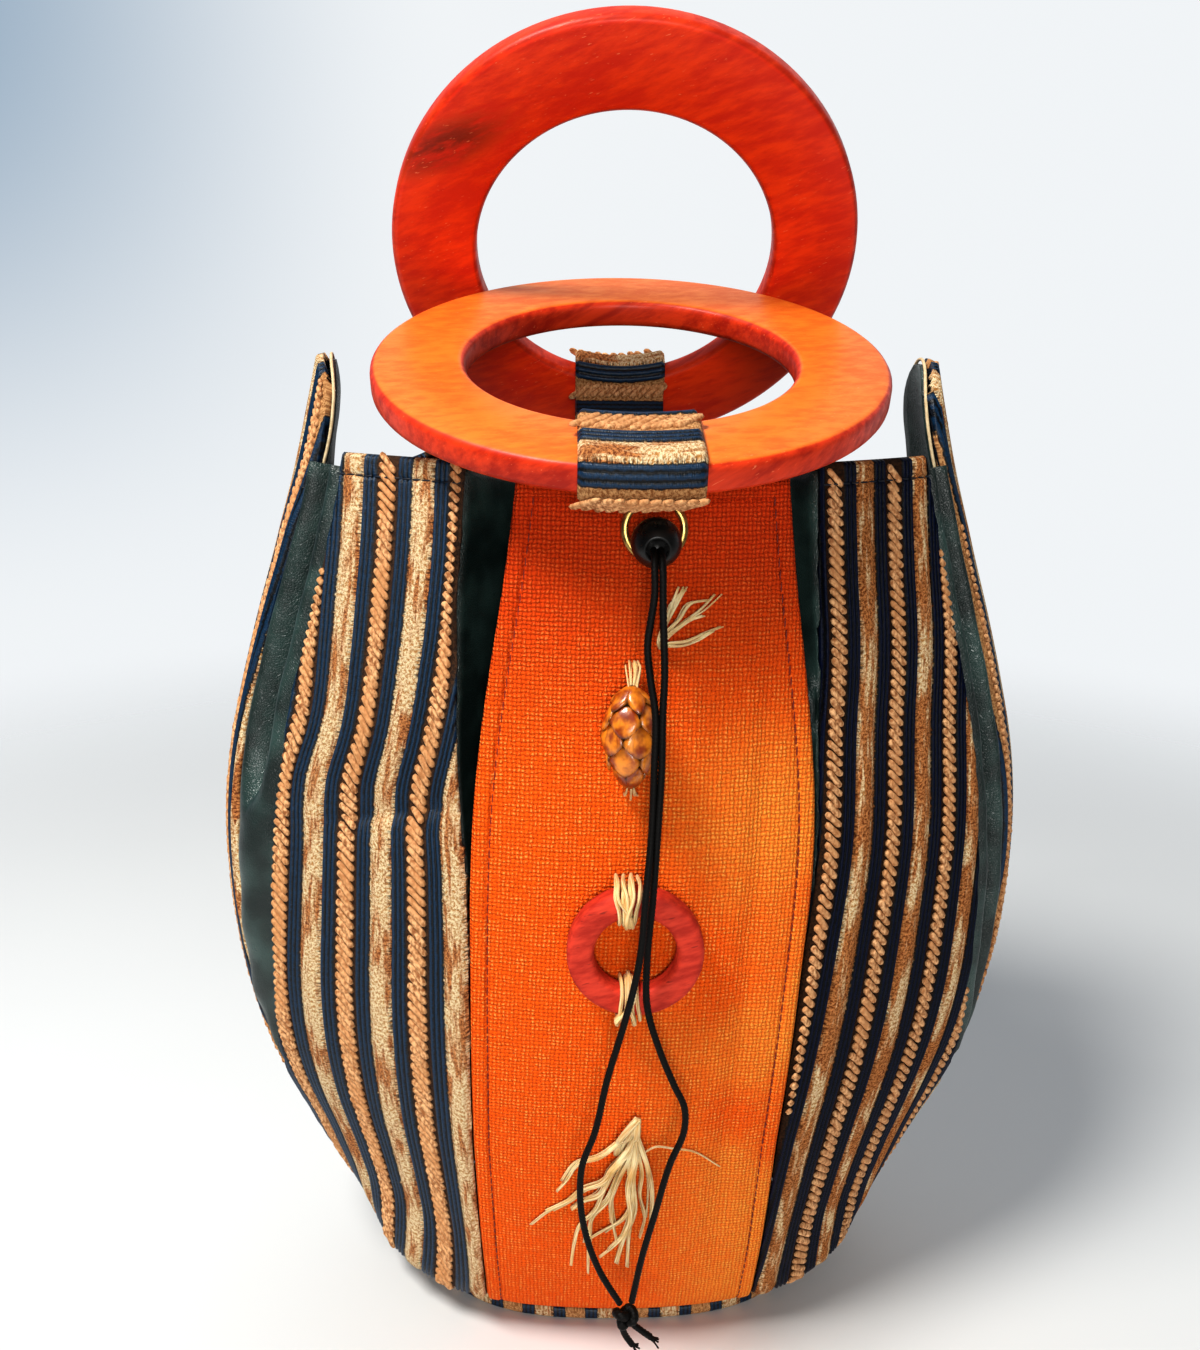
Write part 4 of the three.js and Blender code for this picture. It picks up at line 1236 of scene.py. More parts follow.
def wood_finish(name, dark, light, painted_lit_face_dark, painted_lit_face_light, axis):
    """Stained wood on the walls, with painted light on the flat faces: lighter and more orange, as the lamps
    light them.
    """
    wood = Finish(name, Specular_IOR_Level=0.25, Coat_Weight=0.08, Coat_Roughness=0.25)
    block = wood.on_object()
    rays = wood.noise(wood.stretched(block, (16, 240, 240), GRAIN_TURN), 1.3, 4, 0.6)
    pores = wood.noise(wood.stretched(block, (110, 1900, 1900), GRAIN_TURN), 1.0, 1)
    bare = wood.noise(block, 45, 2)
    cloud = wood.noise(block, 24, 3)
    grain = wood.spread(wood.sums("ADD", rays, wood.sums("MULTIPLY", cloud, 0.6)), 0.6, 1.0)
    normal = wood.node("NewGeometry").outputs["Normal"]
    facing = wood.node("VectorMath", {0: normal, 1: tuple(axis)}, operation="DOT_PRODUCT").outputs["Value"]
    # Painted light: faces turned along the ring's axis get the lit colours, and the walls keep the stain.
    flat = wood.spread(wood.sums("ABSOLUTE", facing), 0.75, 0.97)
    wall = wood.blend(grain, colour(dark), colour(light))
    face = wood.blend(grain, colour(painted_lit_face_dark), colour(painted_lit_face_light))
    stain_and_lit_faces = wood.blend(flat, wall, face)
    smear = wood.stretched(block, (22, 105, 105), GRAIN_TURN, STREAK_CENTRE)
    smear = wood.node("VectorMath", {0: smear}, operation="LENGTH").outputs["Value"]
    smear = wood.sums("MULTIPLY", wood.spread(smear, 0.2, 1.1, 0.85, 0), wood.spread(rays, 0.3, 0.6))
    stain_and_lit_faces = wood.blend(smear, stain_and_lit_faces, colour("5a1405"))
    dashes = wood.sums("MULTIPLY", wood.spread(pores, 0.7, 0.77), wood.spread(bare, 0.4, 0.6, 0.05, 0.5))
    wood.put("Base Color", wood.blend(dashes, stain_and_lit_faces, colour("ff9a6a")))
    wood.put("Roughness", wood.spread(rays, 0.3, 0.7, 0.5, 0.4))
    wood.bump(wood.sums("MULTIPLY_ADD", pores, 0.4, rays), 0.1)
    return wood


red_wood = Finish("red_wood", Specular_IOR_Level=0.2)
lath = red_wood.on_object()
rays = red_wood.noise(red_wood.stretched(lath, (80, 320, 320), (0, 0.3, 0)), 1.4, 4, 0.6)
ticks = red_wood.noise(red_wood.stretched(lath, (260, 1500, 1500), (0, 0.3, 0)), 1.0, 2)
paint = red_wood.blend(red_wood.spread(rays, 0.3, 0.7), colour("aa2a1b"), colour("d2432d"))
marks = red_wood.spread(ticks, 0.64, 0.74, 0, 0.6)
red_wood.put("Base Color", red_wood.blend(marks, paint, colour("551611")))
red_wood.put("Roughness", red_wood.spread(rays, 0.3, 0.7, 0.66, 0.54))
red_wood.bump(ticks, 0.1)
print("wood ready")

# %% Rings
RING_OUTER = 75
RING_INNER = 48
RING_THICKNESS = 8.5
RING_EASED = 2.3
RINGS = {
    "front": {"centre": (0, -15.8, 315.4), "lean": 71.2, "near_spare": 2.6},
    "rear": {"centre": (0, 37.4, 350.4), "lean": -34.7, "near_spare": 4.8},
}


def spun(section_points, steps):
    """A closed section of radius and height, spun about Z."""
    bm = bmesh.new()
    verts = [bm.verts.new(Vector((r, 0, h)) * MM) for r, h in section_points]
    edges = [bm.edges.new((verts[k], verts[(k + 1) % len(verts)])) for k in range(len(verts))]
    bmesh.ops.spin(
        bm, geom=verts + edges, cent=(0, 0, 0), axis=(0, 0, 1), angle=2 * math.pi, steps=steps,
        use_merge=True)
    return bm


def turned_ring(outer, inner, thickness, eased, steps):
    """A ring about Z, spun from the four corners of its section, with bevelled edges."""
    half = thickness / 2
    bm = spun([(inner, -half), (outer, -half), (outer, half), (inner, half)], steps)
    bmesh.ops.recalc_face_normals(bm, faces=bm.faces[:])
    rims = [edge for edge in bm.edges if edge.calc_face_angle() > 1]
    bmesh.ops.bevel(bm, geom=rims, offset=eased * MM, segments=4, profile=0.5, affect="EDGES", material=-1)
    return bm


def ring_directions(lean):
    angle = math.radians(lean)
    up = Vector((0, math.sin(angle), math.cos(angle)))
    return up, Vector((0, -math.cos(angle), math.sin(angle)))


def set_on(bm, centre, axis):
    """Moves a shape made about Z to its centre, with Z along the axis."""
    axis = Vector(axis).normalized()
    along = Vector((1, 0, 0))
    turn = Matrix((along, axis.cross(along), axis)).transposed()
    bmesh.ops.transform(bm, matrix=Matrix.LocRotScale(Vector(centre) * MM, turn, None), verts=bm.verts[:])


# Per ring: the wall stain's two colours, then the two painted light colours of the flat faces.
RING_STAINS_AND_LIT_FACES = {
    "front": ("a81f06", "d93f18", "d8641c", "e67c26"),
    "rear": ("b02306", "d93f18", "dc2a08", "f8440f"),
}
for which, ring in RINGS.items():
    axis = ring_directions(ring["lean"])[1]
    wood = wood_finish("handle_wood_" + which, *RING_STAINS_AND_LIT_FACES[which], axis)
    bm = turned_ring(RING_OUTER, RING_INNER, RING_THICKNESS, RING_EASED, 144)
    set_on(bm, ring["centre"], axis)
    finished(
        "wooden_ring_" + which, bm, [wood], body=which + "_ring",
        nodes=["handle_ring_" + which])

# %% [markdown]
# ## Ring loops
# A loop of striped cloth holds each ring to the rim and goes down inside the bag. Its stripes run across
# the ring. The loop is a grid wrapped round the ring's square section, with the same weave relief as the
# panels, and the tail is a flat double strip that is sewn inside. The rear tail shows between the rings, so
# it has braid lobes too.

# %% Ring loops
TAB_WIDTH = 31.5
TAB_CLOTH = 2.0
TAB_SPARE = 2.6
TAB_CORNER = 5.0
TAB_SCALE = 1.5
TAB_OFFSETS = {"front": 36.4, "rear": 3.0}
TAIL_FOOT = 268
TAIL_BACK = 57.9
TAIL_THICK = 4.0
TAIL_NEAR = (47.6, 4.9)
TAIL_FAR = (52.5, 5.85)
TAIL_INSET = 0.3
LOOP_LOBES = {"step": 1.12, "half": 1.6, "size": 1.3}
TAIL_LOBES = {"step": 1.05, "half": 1.05, "size": 1.1}
TAILS = {
    "front": {"side": -1, "face": -1, "bend": 289.4, "chenille": 306.4},
    "rear": {"side": 1, "face": 1, "bend": 293.4, "chenille": 294.4},
}


def loop_outline(x, near_spare):
    """The loop's outside in the ring's directions: along from its centre, and out of its face."""
    far = math.sqrt(RING_OUTER**2 - x * x) + TAB_SPARE
    near = math.sqrt(RING_INNER**2 - x * x) - near_spare
    middle = (far + near) / 2
    reach = (far - near) / 2 - TAB_CORNER
    rise = RING_THICKNESS / 2 + TAB_SPARE - TAB_CORNER
    corners = ((-1, -1, 225, 180), (-1, 1, 180, 90), (1, 1, 90, 0), (1, -1, 0, -90), (-1, -1, -90, -135))
    outline = []
    for along_side, high_side, start, stop in corners:
        for angle in np.radians(np.linspace(start, stop, 12)):
            along = middle + along_side * reach + TAB_CORNER * math.cos(angle)
            outline.append((along, high_side * rise + TAB_CORNER * math.sin(angle)))
    outline = np.array(outline)
    run = np.concatenate([[0], np.cumsum(np.linalg.norm(np.diff(outline, axis=0), axis=1))])
    return outline, run


class RingLoop:
    """The cloth loop round a ring, placed by the way round it and by X."""

    def __init__(self, ring):
        self.centre = np.array(ring["centre"], float)
        up, out = ring_directions(ring["lean"])
        self.up = np.array(up)
        self.out = np.array(out)
        self.near_spare = ring["near_spare"]
        self.girth = float(loop_outline(0, self.near_spare)[1][-1])

    def place(self, round_way, x, proud):
        outline, run = loop_outline(x, self.near_spare)
        spot = np.asarray(round_way, float) / self.girth * run[-1]
        flat = np.stack([np.interp(spot, run, outline[:, k]) for k in (0, 1)], -1)
        ahead = np.stack([np.interp((spot + 0.3) % run[-1], run, outline[:, k]) for k in (0, 1)], -1)
        behind = np.stack([np.interp((spot - 0.3) % run[-1], run, outline[:, k]) for k in (0, 1)], -1)
        way = unit(ahead - behind)
        flat = flat + np.stack([-way[:, 1], way[:, 0]], -1) * np.asarray(proud, float)[:, None]
        points = self.centre - self.up * flat[:, :1] + self.out * flat[:, 1:]
        points[:, 0] = x
        return points


print("a loop is", round(RingLoop(RINGS["front"]).girth), "mm round")

# %% Sewn loops
TAB_MARGINS = np.array([0, 0.3, 0.8, 1.5, 2.4, 5, 8.5, 12])
across_tab = np.concatenate([TAB_MARGINS - TAB_WIDTH / 2, [0], (TAB_WIDTH / 2 - TAB_MARGINS)[::-1]])
for which, ring in RINGS.items():
    loop = RingLoop(ring)
    offset = TAB_OFFSETS[which]
    keys = np.concatenate([offset + TAB_SCALE * (REPEAT * k + STRIPE_KEYS) for k in range(-2, 5)])
    way = np.concatenate([[0], keys[(keys > 0.2) & (keys < loop.girth - 0.2)], [loop.girth]])
    ends = smooth_step(np.minimum(way, loop.girth - way), 0, 2)
    points = []
    for x in across_tab:
        margin = np.full_like(way, TAB_WIDTH / 2 - abs(x))
        push = rolled(0.8 * stripe_height((way - offset) / TAB_SCALE) * ends, margin)
        points.append(loop.place(way, x, push))
    cloth = np.stack(np.broadcast_arrays((way[None, :] - offset) / TAB_SCALE, across_tab[:, None]), -1)
    bm = bmesh.new()
    add_grid(bm, np.array(points), cloth)
    middle = loop.centre - loop.up * (RING_OUTER + RING_INNER) / 2
    piece = finished(
        "ring_loop_" + which, bm, [striped_flat, cloth_back], nodes=["handle_tab_" + which],
        centre=middle)
    thicken(piece, TAB_CLOTH, reverse=1)

    jitter = random.Random(which)
    frames = []
    for k in range(-2, 5):
        round_way = offset + TAB_SCALE * REPEAT * (k + 0.5)
        if not BRAID_HALF < round_way < loop.girth - BRAID_HALF:
            continue
        for x in np.arange(-TAB_WIDTH / 2 + 2, TAB_WIDTH / 2 - 1.5, LOOP_LOBES["step"] * LOBE_PITCH):
            spot = np.array([round_way])
            point = loop.place(spot, x, np.array([0.1]))[0]
            outward = unit(loop.place(spot, x, np.array([1.1]))[0] - point)
            ahead = unit(loop.place(spot + 1, x, np.array([0.1]))[0] - point)
            up = np.cross(outward, ahead)
            stand = (point, ahead, up, outward)
            frames.append(lobe_frame(stand, LOOP_LOBES["half"] * BRAID_HALF, jitter, LOOP_LOBES["size"]))

    tail = TAILS[which]
    outer_y = tail["side"] * TAIL_BACK
    inner_y = outer_y - tail["side"] * TAIL_THICK
    joins = [
        loop.centre - loop.up * along + loop.out * (tail["face"] * high)
        for along, high in (TAIL_FAR, TAIL_NEAR)]
    foot = np.array([0, inner_y, tail["bend"]])
    rise = unit(joins[1] - foot)
    braid_height = tail["chenille"] + REPEAT / 2
    if braid_height < joins[1][2]:
        outward = np.cross((1, 0, 0), rise)
        middle = foot + rise * (braid_height - foot[2]) / rise[2] + 0.1 * outward
        for x in np.arange(-TAB_WIDTH / 2 + 2.6, TAB_WIDTH / 2 - 1.5, TAIL_LOBES["step"] * LOBE_PITCH):
            point = middle + np.array([x, 0, 0])
            stand = (point, -rise, np.cross(rise, outward), outward)
            frames.append(lobe_frame(stand, TAIL_LOBES["half"] * BRAID_HALF, jitter, TAIL_LOBES["size"]))
    stamped("loop_braid_" + which, lobe_template(), frames, [tan_braid])

    outline = [
        (outer_y, TAIL_FOOT), (outer_y, tail["bend"]), tuple(joins[0][1:]),
        tuple(joins[1][1:]), (inner_y, tail["bend"]), (inner_y, TAIL_FOOT)]
    bm = bmesh.new()
    layer = bm.loops.layers.uv.new(CLOTH_MAP)
    verts = [bm.verts.new(Vector((-TAB_WIDTH / 2 + TAIL_INSET, y, z)) * MM) for y, z in outline]
    side = bm.faces.new(verts)
    grown = bmesh.ops.extrude_face_region(bm, geom=[side])["geom"]
    bmesh.ops.translate(
        bm, verts=[v for v in grown if isinstance(v, bmesh.types.BMVert)],
        vec=((TAB_WIDTH - 2 * TAIL_INSET) * MM, 0, 0))
    bmesh.ops.recalc_face_normals(bm, faces=bm.faces[:])
    bmesh.ops.bevel(
        bm, geom=bm.edges[:], offset=0.7 * MM, segments=2, profile=0.5, affect="EDGES", material=-1)
    for face in bm.faces:
        for corner in face.loops:
            corner[layer].uv = (corner.vert.co.z / MM - tail["chenille"], corner.vert.co.x / MM)
    finished("loop_tail_" + which, bm, [striped_flat])

# %% [markdown]
# ## Cord stop and eyelet
# A black ball stop with a bore sits in a brass eyelet under the rim, and both strands come out of it. The
# ball is an arc spun about its bore, which leaves the hole open, and the eyelet is a rolled washer spun
# from a small section.

# %% Cord stop and eyelet
STOP_CENTRE = (4.65, -73.1, 274.4)
STOP_RADIUS = 6.6
STOP_BORE = 2.95
STOP_TILT = math.radians(9)
EYELET_ACROSS = 4.65
EYELET_HEIGHT = 276.5

black_plastic = Finish("black_plastic", Specular_IOR_Level=0.4)
scuff = black_plastic.noise(black_plastic.on_object(), 400, 4)
black_plastic.put("Base Color", black_plastic.blend(scuff, colour("050505"), colour("121110")))
black_plastic.put("Roughness", black_plastic.spread(scuff, 0.35, 0.7, 0.26, 0.42))

eyelet_brass = Finish("eyelet_brass", Metallic=1.0)
tarnish = eyelet_brass.noise(eyelet_brass.on_object(), 500, 4)
eyelet_brass.put("Base Color", eyelet_brass.blend(tarnish, colour("8f6d33"), colour("d9bd78")))
eyelet_brass.put("Roughness", eyelet_brass.spread(tarnish, 0.35, 0.7, 0.25, 0.45))

mouth = math.asin(STOP_BORE / STOP_RADIUS)
arc = [(STOP_RADIUS * math.sin(a), -STOP_RADIUS * math.cos(a)) for a in np.linspace(0, math.pi - mouth, 24)]
bm = spun(arc + [(STOP_BORE, 0), (0, 0)], 48)
bmesh.ops.remove_doubles(bm, verts=bm.verts[:], dist=0.01 * MM)
set_on(bm, STOP_CENTRE, (0, -math.cos(STOP_TILT), -math.sin(STOP_TILT)))
finished("cord_stop_ball", bm, [black_plastic], nodes=["cord_stop"])

EYELET_SECTION = [
    (6.9, 0), (6.9, 0.75), (7.05, 1.1), (7.4, 1.3), (8.1, 1.28), (8.6, 1.05), (8.9, 0.6), (9.0, 0.1),
    (8.6, 0)]
bm = spun(EYELET_SECTION, 48)
angle = np.array([angle_at_x(EYELET_ACROSS, EYELET_HEIGHT)])
set_on(bm, on_front(EYELET_ACROSS, EYELET_HEIGHT, GAP), skin_normal(EYELET_HEIGHT, angle)[0])
finished("brass_eyelet", bm, [eyelet_brass], nodes=["cord_eyelet"])

# %% [markdown]
# ## Raffia
# Raffia is split palm leaf: flat dry ribbons that curl and narrow, pale where the light passes through.
# Each strand is a flattened tube that twists a little along its route, and a bunch of strands is one mesh.

# %% Raffia finish
raffia = Finish("raffia", Roughness=0.62, Subsurface_Weight=0.08, Subsurface_Scale=0.002)
leaf = raffia.on_cloth()
veins = raffia.noise(raffia.stretched(leaf, (2.2, 0.12, 1)), 1.0, 4)
tone = raffia.noise(raffia.on_object(), 160, 2)
straw = raffia.blend(raffia.spread(veins, 0.3, 0.7), colour("b98744"), colour("f8e4b4"))
raffia.put("Base Color", raffia.blend(raffia.spread(tone, 0.4, 0.75, 0, 0.6), straw, colour("e7bb74")))
raffia.bump(veins, 0.25)


def ribbon(width, thickness, taper, curl, start, length):
    """A flat section that twists and narrows along the strand."""
    def shape(angle, run):
        share = run / length
        wide = width / 2 * (1 - taper * share**2) * np.sign(np.cos(angle)) * np.abs(np.cos(angle)) ** 0.7
        high = thickness / 2 * np.sign(np.sin(angle)) * np.abs(np.sin(angle)) ** 0.7
        twist = start + curl * share
        return wide * np.cos(twist) - high * np.sin(twist), wide * np.sin(twist) + high * np.cos(twist)
    return shape


def strand_length(route):
    return float(np.sum(np.linalg.norm(np.diff(route, axis=0), axis=1)))


def add_strand(bm, route, width, thickness, rng, curl=1.0, reference=(0, 1, 0)):
    shape = ribbon(
        width, thickness, taper=rng.uniform(0.1, 0.5), curl=rng.uniform(-curl, curl),
        start=rng.uniform(-0.5, 0.5) * curl, length=strand_length(route))
    add_tube(bm, route, shape, reference, 8)


print("raffia ready")

# %% Tassel and tuft
TASSEL_HEAD = (1.3, 104.5)
SIDE_STRANDS = 2
TASSEL_STRANDS = [
    [(3.0, 102.9), (-3.3, 96.6), (-8.1, 91.3), (-14.0, 87.8), (-18.0, 79.9), (-20.8, 75.4)],
    [(1.5, 101.0), (-3.1, 89.5), (-7.0, 81.9), (-12.0, 78.2), (-17.0, 71.5), (-23.1, 66.6), (-28.8, 59.7)],
    [(1.1, 98.5), (-3.6, 86.8), (-6.9, 77.0), (-9.3, 68.4), (-13.9, 60.6), (-15.4, 52.6), (-16.4, 41.5)],
    [(0.7, 96.0), (-2.1, 86.0), (-5.8, 72.7), (-9.8, 65.4), (-10.9, 53.0), (-11.0, 37.8)],
    [(1.6, 98.5), (0.9, 88.1), (1.8, 72.7), (-0.6, 64.8), (-7.6, 57.8), (-11.2, 54.5)],
    [(2.1, 97.2), (2.0, 82.6), (2.9, 68.5), (0.6, 58.6), (-4.4, 50.0), (-7.5, 46.3)],
    [(2.6, 95.9), (4.4, 86.0), (4.2, 75.4), (6.1, 64.7), (4.8, 55.5)],
    [(3.6, 97.2), (5.8, 89.3), (7.7, 78.2), (8.1, 64.6), (7.9, 55.2)],
    [(2.7, 94.5), (2.0, 83.9), (1.9, 68.4), (1.4, 55.5), (1.3, 41.2)],
    [(2.2, 93.3), (0.5, 81.2), (1.5, 64.0), (-0.3, 54.6), (-2.2, 43.2)],
    [(1.2, 94.7), (-2.0, 84.0), (-4.3, 72.7), (-3.6, 62.5), (-2.4, 54.8)],
    [(0.7, 96.7), (-5.1, 86.1), (-8.4, 75.5), (-12.9, 71.8), (-16.4, 68.2)],
]
LONG_STRAND = [(3.7, 93.9), (8.1, 96.1), (13.6, 94.2), (19.2, 91.8), (28.2, 84.6)]
TUFT_HEAD = (6.4, 245.5)
TUFT_STRANDS = [
    [(5.9, 246.9), (7.8, 252.6), (10.2, 257.3), (12.2, 261.7)],
    [(6.3, 247.7), (11.1, 253.3), (14.3, 257.3), (18.4, 258.1)],
    [(6.7, 247.3), (12.7, 252.5), (17.6, 255.6), (21.7, 259.6)],
    [(6.7, 246.9), (11.9, 251.7), (15.2, 253.3), (17.7, 254.0)],
    [(7.1, 246.5), (13.7, 247.6), (19.4, 249.6), (23.9, 251.1)],
    [(7.1, 246.1), (12.0, 246.4), (15.3, 247.4), (19.4, 250.0)],
    [(6.3, 248.1), (8.2, 253.7), (9.4, 256.5), (13.4, 260.9)],
]


def lying_route(head, spots, lift, tip_lift, sway):
    """A strand from the bunch's head along its spots on the front, lifting off the cloth between."""
    spots = [head] + [(x + sway * k / len(spots), z) for k, (x, z) in enumerate(spots)]
    last = len(spots) - 1
    proud = [
        0.4 + lift * math.sin(math.pi * min(1, 0.25 + k / last)) + tip_lift * k / last
        for k in range(last + 1)]
    return route_through([on_front(x, z, p) for (x, z), p in zip(spots, proud)], 1.2)


rng = random.Random(7)
bm = bmesh.new()
for spots in TASSEL_STRANDS:
    route = lying_route(TASSEL_HEAD, spots, rng.uniform(1.6, 3.0), 0.6, 0)
    add_strand(bm, route, rng.uniform(1.4, 2.1), 0.45, rng)
    for _ in range(SIDE_STRANDS):
        sway = rng.uniform(-2.2, 2.2)
        route = lying_route(TASSEL_HEAD, spots[:-1], rng.uniform(0.8, 2.6), 0.5, sway)
        add_strand(bm, route, rng.uniform(0.5, 1.1), 0.35, rng)
add_strand(bm, lying_route((2.4, 97), LONG_STRAND, 2.4, 0.8, 0), 0.7, 0.45, rng, curl=0.3)
for k in range(9):
    x = TASSEL_HEAD[0] + 2.4 * math.sin(1.7 * k)
    spots = [(x - 1, 101), (x - 2.2, 96), (x - 2.6, 91)]
    route = lying_route((TASSEL_HEAD[0] + 1.4, 106.5), spots, rng.uniform(2.4, 3.8), 0.6, rng.uniform(-1, 1))
    add_strand(bm, route, 2.0, 0.6, rng, curl=0.4)
finished("tassel", bm, [raffia], nodes=["raffia_tassel"])

bm = bmesh.new()
for spots in TUFT_STRANDS:
    for _ in range(4):
        sway = rng.uniform(-2.4, 2.4)
        route = lying_route(TUFT_HEAD, spots, rng.uniform(1.2, 2.6), 1.6, sway)
        add_strand(bm, route, rng.uniform(0.4, 1.3), 0.35, rng)
finished("tuft", bm, [raffia], nodes=["raffia_tuft"])

# %% [markdown]
# ## Seed pod
# The pod is a dry palm fruit: an egg of overlapping amber scales in slanting rows. Each scale is a small
# flattened sphere, pointed at its lower end, and the rows are staggered like roof tiles. A dark core shows
# between them.

# %% Seed pod
POD_ACROSS = -1.3
POD_HEIGHT = 223.7
POD_RADIUS = 7.1
POD_HALF = 13.4
POD_OFF = 0.7
SCALES_ROUND = 5
SCALE_ROWS = 5
SCALE_TILT = 0.2

seed_shell = Finish("seed_shell", Coat_Weight=0.5, Coat_Roughness=0.15, Roughness=0.35)
husk = seed_shell.noise(seed_shell.on_object(), 260, 3)
streak = seed_shell.noise(seed_shell.stretched(seed_shell.on_object(), (700, 700, 120)), 1.0, 3)
amber = seed_shell.blend(seed_shell.spread(husk, 0.36, 0.66), colour("8a3304"), colour("e28a22"))
amber = seed_shell.blend(seed_shell.spread(streak, 0.5, 0.8, 0, 0.5), amber, colour("6a2606"))
round_scale = seed_shell.node("VectorMath", {0: seed_shell.on_cloth()}, operation="LENGTH").outputs["Value"]
seed_shell.put("Base Color", seed_shell.blend(
    seed_shell.spread(round_scale, 0.72, 1.0, 0, 0.9), amber, colour("2a0f03")))
seed_shell.bump(streak, 0.1)

seed_core = Finish("seed_core", Roughness=0.8)
pith = seed_core.noise(seed_core.on_object(), 500, 3)
seed_core.put("Base Color", seed_core.blend(pith, colour("2a1607"), colour("5a3413")))

pod_centre = on_front(POD_ACROSS, POD_HEIGHT, POD_OFF + POD_RADIUS)


def pod_radius(share):
    """The pod's half width at a share of its half height."""
    return POD_RADIUS * max(0.0, 1 - abs(share) ** 2.3) ** 0.62


profile = [(max(0.02, pod_radius(s) - 1.0), s * (POD_HALF - 1)) for s in np.linspace(-1, 1, 17)]
bm = spun(profile, 20)
bmesh.ops.remove_doubles(bm, verts=bm.verts[:], dist=0.03 * MM)
set_on(bm, pod_centre, (0, 0, 1))
finished("pod_core", bm, [seed_core], nodes=["seed_pod"])


def scale_template():
    bm = bmesh.new()
    bmesh.ops.create_uvsphere(bm, u_segments=10, v_segments=6, radius=1)
    for vert in bm.verts:
        x, y, z = vert.co
        vert.co = (x * (1.0 - 0.45 * abs(z)), y, z)
    return bm


frames = []
for row in range(SCALE_ROWS):
    share = -0.8 + 1.6 * row / (SCALE_ROWS - 1)
    radius = pod_radius(share)
    for k in range(SCALES_ROUND):
        angle = 2 * math.pi * (k + 0.5 * (row % 2)) / SCALES_ROUND
        around = np.array((math.cos(angle), math.sin(angle), 0))
        slope = (pod_radius(share + 0.05) - pod_radius(share - 0.05)) / (0.1 * POD_HALF)
        up = unit(np.array((around[0] * slope, around[1] * slope, 1.0)))
        up = unit(up - around * SCALE_TILT)
        side = np.array((-math.sin(angle), math.cos(angle), 0))
        outward = np.cross(side, up)
        point = pod_centre + around * (radius - 0.75) + np.array((0, 0, share * POD_HALF))
        half = math.pi * max(radius, 2.2) / SCALES_ROUND
        frames.append([side * half * 1.12, outward * 0.95, up * 4.5, point])
stamped("pod_scales", scale_template(), frames, [seed_shell])

# %% [markdown]
# ## Pod ties and small ring
# The pod hangs by raffia that is pulled through the cloth above and below it. Under it a small flat wooden
# ring is held by two raffia wraps, each of several ribbons side by side that go over the ring and back into
# the cloth.

# %% Pod ties
rng = random.Random(11)
for name, side in (("top", 1), ("bottom", -1)):
    bm = bmesh.new()
    tip = POD_HEIGHT + side * POD_HALF
    for k in range(9 if side > 0 else 5):
        lean = rng.uniform(-2.4, 2.4)
        spots = [
            (POD_ACROSS + 0.35 * lean, pod_centre[1] - rng.uniform(-0.5, 2.2),
             tip - side * rng.uniform(0, 2.5)),
            (POD_ACROSS + 0.7 * lean, pod_centre[1] + 1.5, tip + side * 2.2),
            (POD_ACROSS + lean, pod_centre[1] + 4.5, tip + side * rng.uniform(3.6, 5.4)),
            (POD_ACROSS + 0.8 * lean, pod_centre[1] + 7.6, tip + side * rng.uniform(4, 6)),
        ]
        add_strand(bm, route_through(spots, 0.8), rng.uniform(1.0, 1.7), 0.5, rng, 0.5, (1, 0, 0.2))
    finished("pod_tie_" + name + "_raffia", bm, [raffia], nodes=["pod_tie_" + name])

# %% Small wooden ring
SMALL_ACROSS = 0.8
SMALL_HEIGHT = 163
SMALL_OUTER = 18.9
SMALL_INNER = 11.4
SMALL_THICKNESS = 7
SMALL_OFF = 0.9
WRAPS = {"top": (1, -1.7), "bottom": (-1, -0.8)}

small_back = float(on_front(SMALL_ACROSS, SMALL_HEIGHT, SMALL_OFF)[1])
bm = turned_ring(SMALL_OUTER, SMALL_INNER, SMALL_THICKNESS, 1.8, 72)
set_on(bm, (SMALL_ACROSS, small_back - SMALL_THICKNESS / 2, SMALL_HEIGHT), (0, -1, 0))
finished("small_ring", bm, [red_wood], nodes=["wood_ring"])

small_front = small_back - SMALL_THICKNESS
for name, (side, across) in WRAPS.items():
    bm = bmesh.new()
    for k in range(7):
        x = across + (k % 4 - 1.5) * 2.0
        cross = (across - x) * (0.9 if k > 3 else 0.2)
        proud = rng.uniform(0.3, 0.7) + (0.9 if k > 3 else 0)
        far = SMALL_HEIGHT + side * (SMALL_OUTER + 0.5 + 0.6 * proud)
        near = SMALL_HEIGHT + side * (SMALL_INNER - 1.0 - 0.8 * proud)
        y = small_front - 0.35 - proud
        spots = [
            (x, small_back + 0.2, far), (x + rng.uniform(-0.5, 0.5), y + 2.2, far),
            (x + rng.uniform(-0.6, 0.6), y, far - side * 1.6), (x + cross, y - 0.4, (far + near) / 2),
            (x + 1.6 * cross, y, near + side * 1.6), (x + 1.6 * cross, y + 2.2, near),
            (x + cross, small_back + 0.2, near)]
        add_strand(bm, route_through(spots, 0.7), rng.uniform(2.4, 3.0), 1.1, rng, 0.35, (1, 0, 0))
    finished("ring_wrap_" + name, bm, [raffia], nodes=["ring_tie_" + name])

# %% [markdown]
# ## Floor and light
# The bag stands on a pale floor that has no edge: far from the bag the floor fades to see-through, so it
# melts into the pale background. A soft lamp high on the left makes the shading and the shadow, and a low
# one in front lights the orange panel. The sky fills in the rest: bright behind the bag, dim in front,
# bluer in the upper left corner.

# %% Floor
FLOOR_RADIUS = 3.0
FLOOR_FADES_FROM = 0.36
FLOOR_GONE_AT = 0.95
FLOOR_DROP = 0.0002

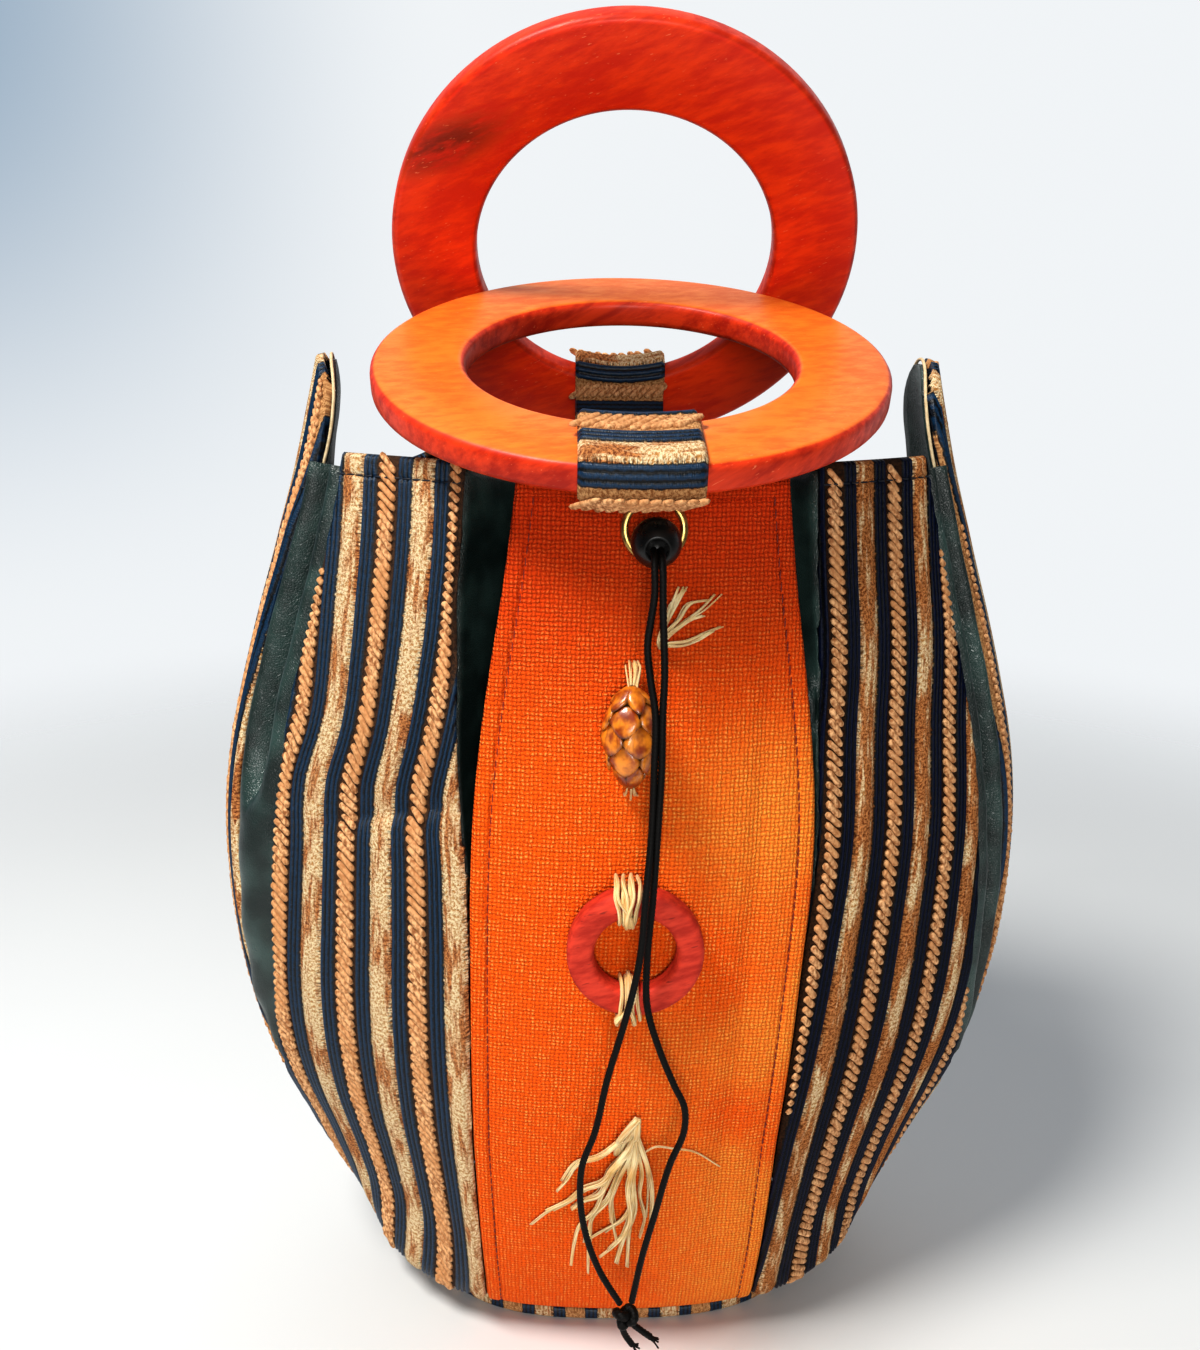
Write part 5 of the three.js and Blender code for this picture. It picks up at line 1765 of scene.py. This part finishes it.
bm = bmesh.new()
bmesh.ops.create_circle(bm, cap_ends=True, segments=64, radius=FLOOR_RADIUS)
mesh = bpy.data.meshes.new("floor")
bm.to_mesh(mesh)
bm.free()
floor_finish = Finish("pale_floor", Roughness=0.8, Specular_IOR_Level=0.2)
spot = floor_finish.on_object()
mottle = floor_finish.noise(spot, 3, 2)
floor_finish.put("Base Color", floor_finish.blend(mottle, colour("d9dadb"), colour("e1e2e3")))
far_off = floor_finish.node("VectorMath", {0: spot}, operation="LENGTH").outputs["Value"]
clear = floor_finish.node("BsdfTransparent").outputs[0]
faded_out = floor_finish.spread(far_off, FLOOR_FADES_FROM, FLOOR_GONE_AT)
shown = floor_finish.shader.outputs[0]
fade = floor_finish.node("MixShader", {0: faded_out, 1: shown, 2: clear}).outputs[0]
floor_finish.tree.links.new(fade, floor_finish.tree.nodes["Material Output"].inputs["Surface"])
mesh.materials.append(floor_finish.material)
floor = bpy.data.objects.new("floor", mesh)
floor.location.z = -FLOOR_DROP
bpy.context.scene.collection.objects.link(floor)
floor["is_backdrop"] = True

# %% Light
LAMPS = {
    "overhead": {"at": (-0.5, -0.42, 1.25), "size": 0.4, "power": 19.5, "tint": (1.0, 0.98, 0.93)},
    "front_low": {"at": (0.0, -1.5, 0.45), "size": 0.6, "power": 13, "tint": (1.0, 0.98, 0.95)},
}
BACK_LIGHT = 0.92
FRONT_LIGHT = 0.14
PALE_SKY = (0.955, 0.98, 1.0, 1)
BLUE_CORNER = (0.31, 0.44, 0.58, 1)
LAMP_AIM = (0, 0, 0.18)

studio = bpy.data.worlds.new("studio")
bpy.context.scene.world = studio
studio.use_nodes = True
sky = studio.node_tree.nodes["Background"]
wires = studio.node_tree.links
way = studio.node_tree.nodes.new("ShaderNodeTexCoord").outputs["Generated"]
split = studio.node_tree.nodes.new("ShaderNodeSeparateXYZ")
wires.new(way, split.inputs[0])


def sky_share(axis, low, high, to_low, to_high):
    """A share that grows smoothly along one axis of the sky."""
    share = studio.node_tree.nodes.new("ShaderNodeMapRange")
    share.interpolation_type = "SMOOTHSTEP"
    for index, value in enumerate((low, high, to_low, to_high), 1):
        share.inputs[index].default_value = value
    wires.new(split.outputs[axis], share.inputs[0])
    return share.outputs[0]


corner = studio.node_tree.nodes.new("ShaderNodeMath")
corner.operation = "MULTIPLY"
wires.new(sky_share("X", -0.08, -0.5, 0, 1), corner.inputs[0])
wires.new(sky_share("Z", -0.25, 0.25, 0, 1), corner.inputs[1])
tint = studio.node_tree.nodes.new("ShaderNodeMix")
tint.data_type = "RGBA"
wires.new(corner.outputs[0], tint.inputs[0])
tint.inputs[6].default_value = PALE_SKY
tint.inputs[7].default_value = BLUE_CORNER
wires.new(tint.outputs[2], sky.inputs["Color"])
wires.new(sky_share("Y", -0.2, 0.6, FRONT_LIGHT, BACK_LIGHT), sky.inputs["Strength"])

for name, lamp in LAMPS.items():
    data = bpy.data.lights.new(name, "AREA")
    data.shape = "DISK"
    data.size = lamp["size"]
    data.energy = lamp["power"]
    data.color = lamp["tint"]
    light = bpy.data.objects.new(name, data)
    light.location = lamp["at"]
    light.rotation_euler = (Vector(LAMP_AIM) - Vector(lamp["at"])).to_track_quat("-Z", "Y").to_euler()
    bpy.context.scene.collection.objects.link(light)
bpy.context.scene.view_settings.view_transform = "Standard"
bpy.context.scene.view_settings.gamma = 0.85
bpy.context.scene.view_settings.exposure = 0.03
print("lamps", list(LAMPS))

# %% [markdown]
# ## Size and finish
# The dressed bag has to keep the solids' size. The last line prints how far it has grown past the frame.

# %% Finish
low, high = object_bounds()
below = [round((a - b) / MM, 1) for a, b in zip(cad_low, low)]
above = [round((a - b) / MM, 1) for a, b in zip(high, cad_high)]
print("grown by", below, above, "mm")
